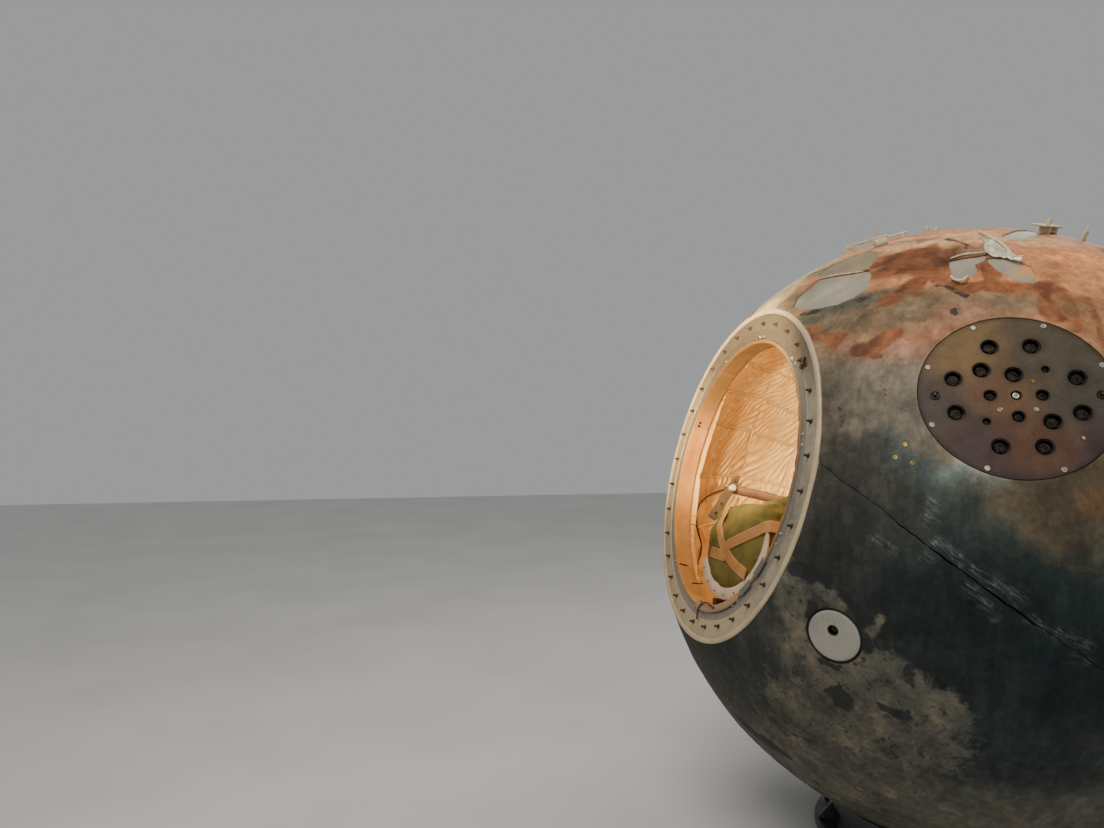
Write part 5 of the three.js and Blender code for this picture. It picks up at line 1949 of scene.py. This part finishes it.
def stuffed(name, node_name, look, cloth, fill, pinned=None, shaped=None):
    """Padded cloth: the node's shape, shrunk and blown up again from inside."""
    voxel, cap, shrink = cloth
    obj = linked(name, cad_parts[node_name].data.copy())
    obj.data.materials.clear()
    remesh = obj.modifiers.new("even", "REMESH")
    remesh.mode = "VOXEL"
    remesh.voxel_size = voxel
    apply_modifiers(obj)
    normals = np.zeros(len(obj.data.vertices) * 3, np.float32)
    obj.data.vertices.foreach_get("normal", normals)
    normals = normals.reshape(-1, 3)
    start = vertices_of(obj.data) - normals * shrink
    if shaped:
        start = shaped(start, normals)
    obj.data.vertices.foreach_set("co", start.astype(np.float32).ravel())
    hold = pinned(start) if pinned else np.zeros(len(start), bool)
    swollen = blown_up(obj, hold)
    moved = swollen - start
    reach = np.linalg.norm(moved, axis=1)
    moved *= np.minimum(1, cap / np.maximum(reach, 1e-9))[:, None]
    creases = 0.0014 * noise_b.layers(start, 26.0, 3)
    obj.data.vertices.foreach_set(
        "co", (start + moved + normals * creases[:, None]).astype(np.float32).ravel()
    )
    subdivide = obj.modifiers.new("smooth", "SUBSURF")
    subdivide.levels = subdivide.render_levels = 1
    apply_modifiers(obj)
    finish_mesh(obj, [look], "seat", 75.0, "olive_canvas")
    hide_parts(node_name)
    return obj


def blown_up(obj, hold):
    """Where a cloth simulation with inner pressure moves the mesh's points."""
    cloth = obj.modifiers.new("cloth", "CLOTH")
    cloth.settings.use_pressure = True
    cloth.settings.uniform_pressure_force = CLOTH_PRESSURE
    cloth.settings.effector_weights.gravity = 0.0
    cloth.settings.quality = 4
    if hold.any():
        group = obj.vertex_groups.new(name="held")
        group.add(np.flatnonzero(hold).tolist(), 1.0, "REPLACE")
        cloth.settings.vertex_group_mass = "held"
    scene = bpy.context.scene
    for step in range(1, CLOTH_FRAMES + 1):
        scene.frame_set(step)
    graph = bpy.context.evaluated_depsgraph_get()
    moved = obj.evaluated_get(graph).to_mesh()
    points = vertices_of(moved)
    obj.evaluated_get(graph).to_mesh_clear()
    obj.modifiers.clear()
    obj.vertex_groups.clear()
    scene.frame_set(1)
    return points


def add_padding():
    lines = [curve_through(strap_places(pixels)[:, :2], 60) for pixels in STRAPS.values()]

    def under_straps(points):
        local = (points - CENTRE) @ SEAT
        near = np.full(len(local), 9.0)
        for line in lines:
            gap = np.linalg.norm(local[:, None, :2] - line[None], axis=2).min(axis=1)
            near = np.minimum(near, gap)
        return (local[:, 2] > PACK_FACE - 0.03) & (near < STRAP_WIDTH * 0.42)

    def slumped(points, normals):
        """The pack swells over the trough's front end, and its top sinks at the right."""
        local = (points - CENTRE) @ SEAT
        front = smooth(0.800, 0.880, local[:, 2])
        right = local[:, 0] > 0
        high = np.where(right, smooth(-0.10, -0.14, local[:, 1]), smooth(-0.135, -0.185, local[:, 1]))
        sunk = (
            smooth(-0.06, 0.22, local[:, 0]) * smooth(-0.30, -0.10, local[:, 1])
            * smooth(0.70, 0.86, local[:, 2])
        )
        local[:, 1] -= 0.034 * sunk
        lumps = 1 + 0.25 * noise_a.layers(points, 7.0, 2)
        return put(SEAT, local) + normals * (0.024 * front * high * lumps)[:, None]

    add_straps(
        stuffed("parachute_bag", "parachute_pack", looks["olive"], PACK_CLOTH, 0.85, under_straps, slumped)
    )
    for name, node_name, fill in (
        ("back_pad", "back_cushion", 0.6),
        ("head_pad", "headrest", 0.7),
        ("seat_pad", "seat_cushion", 0.6),
        ("leg_pad", "leg_cushion", 0.6),
    ):
        stuffed(name, node_name, looks["canvas_pad"], PAD_CLOTH, fill)


def ribbon_arrays(path, normals, width, thick, axes_count=9):
    """Flat webbing along a path; normals point away from what it lies on."""
    tangents = np.gradient(path, axis=0)
    tangents /= np.linalg.norm(tangents, axis=1)[:, None]
    side = np.cross(tangents, normals)
    side /= np.linalg.norm(side, axis=1)[:, None]
    across = np.linspace(-1, 1, axes_count)
    edge = 1 - np.abs(across) ** 6 * 0.5
    upper = [path + side * (width / 2 * a) + normals * (thick * e) for a, e in zip(across, edge)]
    lower = [path + side * (width / 2 * a) for a in across[::-1]]
    stacked = np.stack(upper + lower, axis=1)
    ring = stacked.shape[1]
    return stacked.reshape(-1, 3), quads(len(path), ring) + two_caps(len(path), ring)


def add_straps(pack):
    """Webbing that lies on the pack's face and turns down at its edge, with two rows of stitches."""
    graph = bpy.context.evaluated_depsgraph_get()
    tree = BVHTree.FromObject(pack, graph)
    out = SEAT[:, 2]
    for name, pixels in STRAPS.items():
        line = curve_through(strap_places(pixels)[:, :2], 70)
        run = np.gradient(line, axis=0)
        beside = np.column_stack([-run[:, 1], run[:, 0]]) / np.linalg.norm(run, axis=1)[:, None]
        found = []
        for share in (-0.38, 0, 0.38):
            for x, y in line + beside * STRAP_WIDTH * share:
                hit = tree.ray_cast(Vector(put(SEAT, (x, y, PACK_FACE + 0.15))), Vector(-out))
                found.append((np.array(hit[0]) - CENTRE) @ out if hit[0] is not None else np.nan)
        found = np.array(found).reshape(3, -1)
        heights = np.where(np.isnan(found[1]), np.nan, np.fmax(found[1], np.fmax(found[0], found[2])))
        known = np.flatnonzero(~np.isnan(heights))
        heights = np.interp(np.arange(len(line)), known, heights[known])
        padded = np.pad(heights, 2, mode="edge")
        heights = np.stack([np.roll(padded, shift)[2:-2] for shift in range(-2, 3)]).max(axis=0)
        kernel = np.ones(7) / 7
        heights = np.convolve(np.pad(heights, 3, mode="edge"), kernel, mode="valid")
        # Past the pack's edge the strap turns down along its side.
        away = np.zeros((len(line), 2))
        for edge, past in (
            (known[0], range(known[0] - 1, -1, -1)), (known[-1], range(known[-1] + 1, len(line)))
        ):
            onward = (
                run[edge] / np.linalg.norm(run[edge]) * (-1 if edge == known[0] and edge < known[-1] else 1)
            )
            for k in past:
                reach = np.linalg.norm(line[k] - line[edge])
                heights[k] = heights[edge] - reach
                line[k] = line[edge] + onward * min(reach, 0.005)
                away[k] = onward * 3 * min(1, reach / 0.01)
        path = put(SEAT, np.column_stack([line, heights + 0.0008]))
        along = np.gradient(path, axis=0)
        along /= np.linalg.norm(along, axis=1)[:, None]
        faced = out + away @ SEAT[:, :2].T
        normals = faced - along * (along * faced).sum(axis=1)[:, None]
        normals /= np.linalg.norm(normals, axis=1)[:, None]
        vertices, faces = ribbon_arrays(path, normals, STRAP_WIDTH, STRAP_THICK)
        solid(name, vertices, faces, looks["webbing"], body="seat", sharp=50.0, slot="olive_canvas")
        stitches = []
        side = np.cross(along, normals)
        for shift in (-0.0175, 0.0175):
            for k in range(4, len(path) - 4, 2):
                ends = [path[i] + side[i] * shift + normals[i] * (STRAP_THICK + 0.0001) for i in (k, k + 1)]
                stitches.append(tube_arrays(ends, 0.0005, 5))
        many(name + "_stitching", stitches, looks["piping"], body="seat", slot="olive_canvas", sharp=80.0)


def add_seat_metal():
    """Arm tube on the trough's left wall, with its leaning strut, post and grip."""
    x, y, radius = -0.246, 0.004, 0.018
    path = np.array([(x, y, z) for z in np.r_[0.3002, np.linspace(0.304, 0.814, 12)]])
    tube = tube_arrays(put(SEAT, path), np.r_[0.014, np.full(12, radius)], 28)
    vertices, faces = box_arrays(
        (x - 0.006, TROUGH_SIDE_TOP + 0.0003, 0.330), (x + 0.006, 0.000, 0.352), 0.002
    )
    obj = many(
        "arm_left_tube", [tube, (put(SEAT, vertices), faces)], looks["tube"], body="seat",
        slot="seat_tube_paint",
    )
    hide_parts("arm_left")
    cap_z = [0.8135, 0.8155, 0.828, 0.834, 0.8365]
    cap_r = [radius - 0.001, radius + 0.0012, radius + 0.0012, 0.015, 0.007]
    end = tube_arrays(put(SEAT, [(x, y, z) for z in cap_z]), np.array(cap_r), 28)
    grooves = [(x, y, z) for z in np.linspace(0.640, 0.790, 26)]
    grip = tube_arrays(put(SEAT, grooves), radius + 0.0012 + 0.0007 * np.sin(np.arange(26) * 2.4), 28)
    many("arm_left_end", [end], looks["stud"], body="seat", slot="seat_tube_paint")
    many("arm_left_grip", [grip], looks["tube"], body="seat", slot="seat_tube_paint")

    foot, head = np.array([x, TROUGH_SIDE_TOP + 0.002, 0.902]), np.array([x, 0.062, 0.811])
    run = head - foot
    length = np.linalg.norm(run)
    upward = run / length
    axes = SEAT @ np.column_stack([(1.0, 0, 0), np.cross(upward, (1.0, 0, 0)), upward])
    outline = [
        (-0.017, -0.006), (0.017, -0.006), (0.018, length * 0.55), (0.014, length - 0.022), (0.005, length),
        (-0.005, length), (-0.014, length - 0.022), (-0.018, length * 0.55),
    ]
    strut = plate_arrays(rounded(outline, 0.004, 3), -0.0056, 0.0056, axes, put(SEAT, foot), flip=True)
    many("arm_left_strut", [strut], looks["strut"], body="seat", slot="seat_tube_paint", sharp=30.0)
    where_tube = foot + run * (y - foot[1]) / run[1]
    boss_axes = SEAT @ turned_to_x(1)
    boss = [(0, 0.0), (0.013, 0.0), (0.013, 0.022), (0.011, 0.024), (0, 0.024)]
    bosses = [closed_lathe(boss, boss_axes, 28, put(SEAT, where_tube + np.array([0.002, 0, 0])))]
    many("arm_left_boss", bosses, looks["rim"], body="seat", slot="seat_tube_paint")
    bolts = []
    for share in (0.10, 0.32, 0.86):
        for side in (-1, 1):
            place = foot + run * share + np.array([0.0056 * side, 0, 0])
            bolts.append(nut_arrays(SEAT @ turned_to_x(side), put(SEAT, place), 0.007, 0.0038, 0.003, 0.002))
    many("arm_left_bolts", bolts, looks["steel"], body="seat", slot="seat_tube_paint")


def plate_arrays(outline, low, high, axes, origin, bevel=0.0012, flip=False):
    """Flat plate with an outline in the frame's y-z (flip) or x-y plane and bevelled edges."""
    outline = np.asarray(outline, float)
    count = len(outline)
    middle = outline.mean(axis=0)
    pulled = outline + (middle - outline) / np.linalg.norm(middle - outline, axis=1)[:, None] * bevel
    levels = [(pulled, low), (outline, low + bevel), (outline, high - bevel), (pulled, high)]
    rings = []
    for shape, level in levels:
        if flip:
            rings.append(np.column_stack([np.full(count, level), shape[:, 0], shape[:, 1]]))
        else:
            rings.append(np.column_stack([shape, np.full(count, level)]))
    vertices = put(axes, np.vstack(rings), origin)
    return vertices, outward(vertices - vertices.mean(axis=0), quads(4, count) + two_caps(4, count))


def add_seat_boards():
    """Leg rest and foot rest: boards with bevelled edges and lightening holes."""
    pieces = {
        "leg_rest": ((-0.180, 0.300, -0.580), (0.180, 0.318, -0.2303)),
        "foot_rest": ((-0.170, 0.300, -0.595), (0.170, 0.440, -0.5803)),
    }
    for node_name, (low, high) in pieces.items():
        vertices, faces = box_arrays(low, high, 0.004)
        board = raw_object(node_name + "_board", put(SEAT, vertices), faces)
        board.data.materials.append(looks["seat_paint"])
        cutters = []
        if node_name == "leg_rest":
            for x in (-0.11, 0, 0.11):
                for z in (-0.50, -0.32):
                    cutters.append(
                        cylinder_object(SEAT @ TURNED_TO_Y, 0.026, -0.02, 0.012, 32, put(SEAT, (x, 0.300, z)))
                    )
        else:
            for x in (-0.10, 0, 0.10):
                cutters.append(cylinder_object(SEAT, 0.024, -0.65, -0.55, 32, put(SEAT, (x, 0.375, 0))))
        cut(board, cutters)
        finish_mesh(board, [], "seat", 30.0, "seat_paint")
        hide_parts(node_name)


# Windows
def add_windows():
    for name, (azimuth, elevation) in WINDOWS.items():
        axes = basis(azimuth, elevation)
        inside, outside = WINDOW_RADIUS, WINDOW_OUTER
        profile = [
            (inside, 1.026), (outside - 0.0003, 1.026), (outside - 0.0003, 1.144), (inside + 0.010, 1.144),
            (inside + 0.010, 1.138), (inside, 1.138),
        ]
        ring = lathe(name + "_ring", profile, axes, looks["hull"], 96, 0.002, slot="hull_alloy")
        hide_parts(name + "_frame")
        rim = inside - 0.0003
        pane_profile = [(0, 1.096), (rim, 1.096), (rim, 1.116), (inside - 0.004, 1.118), (0, 1.118)]
        pane = lathe(name + "_pane", pane_profile, axes, looks["glass"], 72, slot="window_glass")
        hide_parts(name + "_glass")
        bolts = []
        for x, y in spread_round(12, outside - 0.011, 0.5):
            for level, faced in ((1.144, axes), (1.026, axes @ np.diag([1.0, -1, -1]))):
                bolts.append(nut_arrays(faced, put(axes, (x, y, level)), 0.007, 0.005, 0.003, 0.002))
        many(name + "_bolts", bolts, looks["steel"], slot="hull_alloy")


# Crown fittings. Each row: piece, CAD node, azimuth, elevation, twist, boxes (low and high corner
# in millimetres, z from the skin).
CROWN_BOXES = [
    (
        "crown_bar_beam", "crown_bar", 14, 70.5, 40,
        [
            ((-95, -10, 16), (30, 6, 25)), ((-6, -7, -30), (6, 6, 56)), ((20, -9, 8), (100, 6, 17)),
            ((74, -12, -30), (90, 10, 15)), ((-95, -14, -30), (-80, 8, 27)), ((-30, -16, 12), (24, 16, 17)),
        ],
    ),
    (
        "crown_catch_block", "crown_catch", 1, 67.6, 40,
        [((-22, -20, -30), (22, 20, 18)), ((-12, -20, 10), (12, 6, 26))],
    ),
    (
        "crown_bracket_beam", "crown_bracket", 101, 69.6, 20,
        [
            ((-90, -24, 21), (80, 24, 28)), ((-20, -20, -20), (-11, 20, 23)), ((46, -20, -20), (55, 20, 23)),
            ((-8, -7, 26), (6, 7, 48)), ((-20, -20, 3), (55, 20, 8)),
        ],
    ),
    ("crown_tab_plate", "crown_tab", 110, 64.9, 20, [((-30, -5, -25), (30, 5, 34))]),
]
# Each row: piece, CAD node, azimuth, elevation, radius, height.
CROWN_ROUNDS = [
    ("crown_post_front_stud", "crown_post_front", 35.3, 76.2, 0.011, 0.024),
    ("crown_post_rear_stud", "crown_post_rear", 42, 76.6, 0.008, 0.014),
]


def add_crown_fittings():
    for name, node_name, azimuth, elevation, twist, boxes in CROWN_BOXES:
        axes = basis(azimuth, elevation, twist)
        origin = CENTRE + axes[:, 2] * SKIN
        parts = []
        for low, high in boxes:
            vertices, faces = box_arrays(np.array(low) / 1000, np.array(high) / 1000, 0.0025)
            parts.append((put(axes, vertices, origin), faces))
        for low, high in boxes[:2]:
            place = put(axes, ((low[0] + high[0]) / 2000, (low[1] + high[1]) / 2000, high[2] / 1000), origin)
            parts.append(nut_arrays(axes, place, 0.008, 0.006, 0.004, 0.004))
        obj = many(name, parts, looks["crown"], slot="cream_paint", sharp=30.0)
        if name == "crown_tab_plate":
            hole = cylinder_object(
                axes @ TURNED_TO_Y, 0.009, -0.02, 0.02, 24, put(axes, (0.012, 0, 0.018), origin)
            )
            cut(obj, [hole])
            smooth_faces(obj, 30.0)
        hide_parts(node_name)
    axes = basis(22, 67, 60)
    origin = CENTRE + axes[:, 2] * (SKIN + 0.010)
    xs = np.r_[-0.022, -0.021, np.linspace(-0.019, 0.019, 5), 0.021, 0.022]
    radii = np.r_[0.010, 0.0145, np.full(5, 0.015), 0.0145, 0.010]
    drum = tube_arrays(put(axes, np.column_stack([xs, np.zeros(9), np.zeros(9)]), origin), radii, 32)
    obj = many("crown_drum_roll", [drum], looks["crown"], slot="cream_paint")
    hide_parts("crown_drum")
    for name, node_name, azimuth, elevation, radius, height in CROWN_ROUNDS:
        axes = basis(azimuth, elevation)
        foot, top = SKIN - 0.02, SKIN + height
        profile = [
            (0, foot), (radius, foot), (radius, top - 0.006), (radius * 0.7, top - 0.004),
            (radius * 0.7, top), (0, top),
        ]
        post = lathe(name, profile, axes, looks["crown"], 24, 0.0015, slot="cream_paint")
        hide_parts(node_name)


# Cradle
CRADLE_SEAT, CRADLE_WIDTH, CRADLE_BASE, CRADLE_BASE_THICK = 0.430, 0.060, 0.520, 0.016
CRADLE_WALL, CRADLE_PAD, CRADLE_BOLT_CIRCLE = 0.014, 0.014, 0.490


def sphere_height(radius):
    return CENTRE[2] - math.sqrt(SKIN**2 - radius**2)


def add_cradle():
    inner, outer = CRADLE_SEAT - CRADLE_WIDTH / 2, CRADLE_SEAT + CRADLE_WIDTH / 2
    wall_top = sphere_height(inner) - CRADLE_PAD - 0.028
    base = [(0, 0), (CRADLE_BASE, 0), (CRADLE_BASE, CRADLE_BASE_THICK), (0, CRADLE_BASE_THICK)]
    obj = lathe("cradle_plate", base, FLOOR, looks["cradle"], 160, 0.003, origin=GROUND, slot="cradle_paint")
    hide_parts("cradle_base")
    half = CRADLE_WALL / 2
    low = CRADLE_BASE_THICK
    back, front = CRADLE_SEAT - half, CRADLE_SEAT + half
    wall = [
        (back, low), (front + 0.010, low), (front + 0.003, low + 0.004), (front, low + 0.012),
        (front, wall_top), (back, wall_top),
    ]
    obj = lathe("cradle_skirt", wall, FLOOR, looks["cradle"], 160, 0.0015, origin=GROUND, slot="cradle_paint")
    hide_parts("cradle_wall")
    under = CRADLE_PAD + 0.0003
    foot = wall_top + 0.0003
    top = [
        (inner, foot), (outer, foot), (outer, sphere_height(outer) - under),
        (inner, sphere_height(inner) - under),
    ]
    obj = lathe("cradle_collar", top, FLOOR, looks["cradle"], 160, 0.003, origin=GROUND, slot="cradle_paint")
    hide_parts("cradle_ring")
    steps = np.linspace(inner + 0.004, outer - 0.004, 6)
    above = [(r, sphere_height(r) - 0.0008) for r in steps[::-1]]
    pad = [(r, sphere_height(r) - CRADLE_PAD) for r in (inner + 0.004, outer - 0.004)] + above
    obj = lathe(
        "cradle_cushion", pad, FLOOR, looks["rubber"], 160, 0.002, origin=GROUND, slot="cradle_rubber"
    )
    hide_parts("cradle_pad")
    bolts = [
        nut_arrays(FLOOR, np.array([x, y, CRADLE_BASE_THICK]), 0.016, 0.011, 0.007, 0.005)
        for x, y in spread_round(16, CRADLE_BOLT_CIRCLE)
    ]
    gussets = []
    outline = [(0.436, low), (0.505, low), (0.505, low + 0.010), (0.446, wall_top), (0.436, wall_top)]
    for x, y in spread_round(8, 1.0, 0.5):
        upright = np.column_stack([(x, y, 0), (0, 0, 1.0), (y, -x, 0)])
        gussets.append(plate_arrays(outline, -0.005, 0.005, upright, GROUND, 0.001))
    many("cradle_bolts", bolts, looks["steel"], slot="cradle_paint")
    many("cradle_gussets", gussets, looks["cradle"], slot="cradle_paint", sharp=25.0)


# Loose char, foil and small fasteners on the skin
def on_skin(px, py, lift):
    """Where the pixel shows the skin, lifted off it."""
    return CENTRE + photo_on_sphere(px, py) * (SKIN + lift)


# The torn foil's two long edges and the curled bits: photograph pixels and the lift off the skin.
FLAP = [
    ((979, 235, 0.002), (986, 241, 0.008), (991, 245, 0.020), (997, 248.5, 0.014), (1003, 251, 0.010),
     (1009, 256, 0.010), (1016, 260.5, 0.014), (1023, 261.5, 0.018)),
    ((980, 237, 0.001), (984, 243, 0.003), (984, 250, 0.004), (988, 256, 0.003), (996, 258, 0.003),
     (1004, 258.5, 0.003), (1011, 261.5, 0.005), (1019, 264, 0.008)),
]
CURLS = {
    "curled_edge": [
        (978, 233, 0.006), (985, 238, 0.014), (990, 243, 0.020), (1003, 250, 0.016), (1013, 260, 0.014),
        (1022, 262, 0.020),
    ],
    "curled_hook": [
        (951, 277, 0.002), (953, 280, 0.006), (958, 283, 0.010), (963, 283, 0.012), (966, 280, 0.011),
        (968, 278, 0.006),
    ],
    "curled_rim": [(950, 259, 0.002), (962, 256, 0.005), (976, 254.5, 0.006), (987, 253, 0.004)],
    "bared_ridge": [(818, 278, -0.005), (832, 275, -0.003), (850, 272.3, -0.003), (869, 269, -0.004)],
}
SKIN_FASTENERS = ((905, 444), (895, 457), (912, 463))
FOIL_HALF, CURL_RADIUS, THIN_CURL = 0.0007, 0.0042, 0.55


def add_torn_edges():
    rows = [curve_through([on_skin(*p) for p in line], 60) for line in FLAP]
    sheet = np.array([rows[0] * (1 - share) + rows[1] * share for share in np.linspace(0, 1, 12)])
    flat = sheet.reshape(-1, 3)
    crumple = 0.0055 * noise_a.layers(flat, 44.0, 4)
    away = flat - CENTRE
    away /= np.linalg.norm(away, axis=1)[:, None]
    flat = flat + away * (crumple + 0.002)[:, None]
    top, bottom = flat + away * FOIL_HALF, flat - away * FOIL_HALF
    rows_count, columns = sheet.shape[:2]
    upper = quads(rows_count, columns, close_columns=False)
    count = rows_count * columns
    lower = [[i + count for i in f[::-1]] for f in upper]
    edge = grid_edge(rows_count, columns)
    sides = []
    for k, a in enumerate(edge):
        b = edge[(k + 1) % len(edge)]
        sides.append([b, a, a + count, b + count])
    solid(
        "torn_foil", np.vstack([top, bottom]), upper + lower + sides, looks["foil"], sharp=50.0,
        slot="charred_shield",
    )

    for name, pixels in CURLS.items():
        path = curve_through([on_skin(*p) for p in pixels], 50)
        radii = (
            CURL_RADIUS * (0.75 + 0.4 * np.sin(np.linspace(0.3, 2.9, 50)))
            * (1 + 0.25 * noise_b.layers(path, 60.0, 2))
        )
        if name in ("curled_rim", "bared_ridge"):
            radii = radii * THIN_CURL
        look = looks["foil"] if name == "curled_rim" else looks["curl"]
        many(name, [tube_arrays(path, radii, 12)], look, slot="charred_shield", sharp=80.0)
    fasteners = []
    for px, py in SKIN_FASTENERS:
        direction = photo_on_sphere(px, py)
        axes = basis_along(direction)
        origin = CENTRE + direction * (SKIN + skin_height(direction[None, :])[0] - 0.001)
        fasteners.append(screw_arrays(axes, origin, 0.0072, 0.003, 0.8))
    many("skin_fasteners", fasteners, looks["brass"], slot="charred_shield")


def photo_on_bore(px, py, radius):
    """Place where a photograph pixel meets the far side of a cylinder about the hatch axis."""
    start, ray = (CAMERA_AT - CENTRE) @ HATCH, photo_ray(px, py) @ HATCH
    a, b = ray[:2] @ ray[:2], start[:2] @ ray[:2]
    reach = (-b + math.sqrt(b * b - a * (start[:2] @ start[:2] - radius**2))) / a
    return start + ray * reach


# Ties on the lip, from end to end, and the bent wire at its bottom, as photograph pixels.
LIP_TIES = [
    ((679.2, 563.5), (687.4, 565.4)), ((692.0, 582.8), (703.0, 583.9)), ((692.0, 524.0), (697.0, 525.5))
]
LIP_WIRE = [(697, 619), (697.4, 612), (699.6, 606), (703.4, 602.8), (708, 603.4), (713.6, 608)]
TIE_RADIUS, WIRE_RADIUS, WIRE_LEVEL = 0.0022, 0.0034, 0.974


def add_wire_bits():
    ties = []
    for ends in LIP_TIES:
        start, end = (photo_on_bore(px, py, HATCH_CLEAR - 0.0025) for px, py in ends)
        ties.append(tube_arrays(put(HATCH, [start, (start + end) / 2, end]), TIE_RADIUS, 10))
    many("lip_ties", ties, looks["stud"], slot="hull_alloy")
    loop = curve_through([photo_on_plane(px, py, HATCH, WIRE_LEVEL) for px, py in LIP_WIRE], 40)
    many("lip_wire", [tube_arrays(put(HATCH, loop), WIRE_RADIUS, 12)], looks["stud"], slot="hull_alloy")


# Stage
FLOOR_HALF = 14.0


def add_lamp(kind, name, power, color, place, aim=None):
    data = bpy.data.lights.new(name, kind)
    data.energy = power
    data.color = color
    lamp = linked(name, data)
    lamp.location = place
    if aim is not None:
        lamp.rotation_mode = "QUATERNION"
        lamp.rotation_quaternion = (Vector(aim) - Vector(place)).to_track_quat("-Z", "Y")
    return data


def add_stage():
    half = FLOOR_HALF
    obj = raw_object(
        "floor", [(-half, -half, 0), (half, -half, 0), (half, half, 0), (-half, half, 0)], [[0, 1, 2, 3]]
    )
    obj.data.materials.append(looks["floor"])
    world = bpy.data.worlds.new("studio")
    world.use_nodes = True
    background = world.node_tree.nodes["Background"]
    background.inputs["Color"].default_value = (0.86, 0.87, 0.88, 1)
    background.inputs["Strength"].default_value = 0.42
    bpy.context.scene.world = world
    # Each row: name, place, aim, size, power, colour.
    for name, place, aim, size, power, color in (
        ("key", (1.6, -2.6, 5.2), (0.3, -0.2, 1.4), 3.2, 170, (1.0, 0.93, 0.84)),
        ("fill", (4.6, -0.6, 2.2), (0.4, 0.0, 1.2), 3.0, 34, (0.9, 0.95, 1.0)),
        ("back", (-2.5, 3.4, 4.2), (0, 0, 1.2), 3.0, 90, (1.0, 0.97, 0.92)),
    ):
        data = add_lamp("AREA", name, power, color, place, aim)
        data.shape = "DISK"
        data.size = size
    # Warm light in the cabin. Each row: name, place in the hatch frame, power, radius.
    for name, place, power, radius in (
        ("cabin_deep", (-0.777, 0.095, -0.402), 2.5, 0.07),
        ("cabin_high", (0.10, 0.66, 0.42), 7.5, 0.08),
        ("cabin_front", (0.20, 0.25, 0.86), 3.0, 0.10),
    ):
        add_lamp("POINT", name, power, (1.0, 0.82, 0.58), put(HATCH, place)).shadow_soft_size = radius
    # Spots in front of the hatch rake the lining's left wall. Each row: name, place and aim in the
    # hatch frame, power, cone angle.
    for name, place, aim, power, cone in (
        ("hatch_spot", (1.15, 0.02, 2.1), (-0.92, 0.40, 0.30), 420, 36),
        ("hatch_spot_low", (0.95, 0.75, 2.1), (-0.93, -0.02, 0.04), 330, 28),
    ):
        data = add_lamp("SPOT", name, power, (1.0, 0.79, 0.49), put(HATCH, place), put(HATCH, aim))
        data.spot_size = math.radians(cone)
        data.spot_blend = 0.6
        data.shadow_soft_size = 0.05


add_camera()
add_cable()
add_stage()
add_skin()
add_covers()
add_hatch()
add_connector_plate()
add_side_port()
add_crown_fittings()
add_torn_edges()
add_windows()
add_lining()
add_wire_bits()
add_seat_shell()
add_padding()
add_seat_metal()
add_seat_boards()
add_cradle()

# CAD nodes that stay as they are get their finish here.
KEPT = {
    "hull": ("pressure_hull", "guide_rail_left", "guide_rail_right"),
    "seat_paint": ("seat_pan", "seat_container"),
}
for look_name, names in KEPT.items():
    for node_name in names:
        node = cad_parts[node_name]
        node.data.materials.clear()
        node.data.materials.append(looks[look_name])
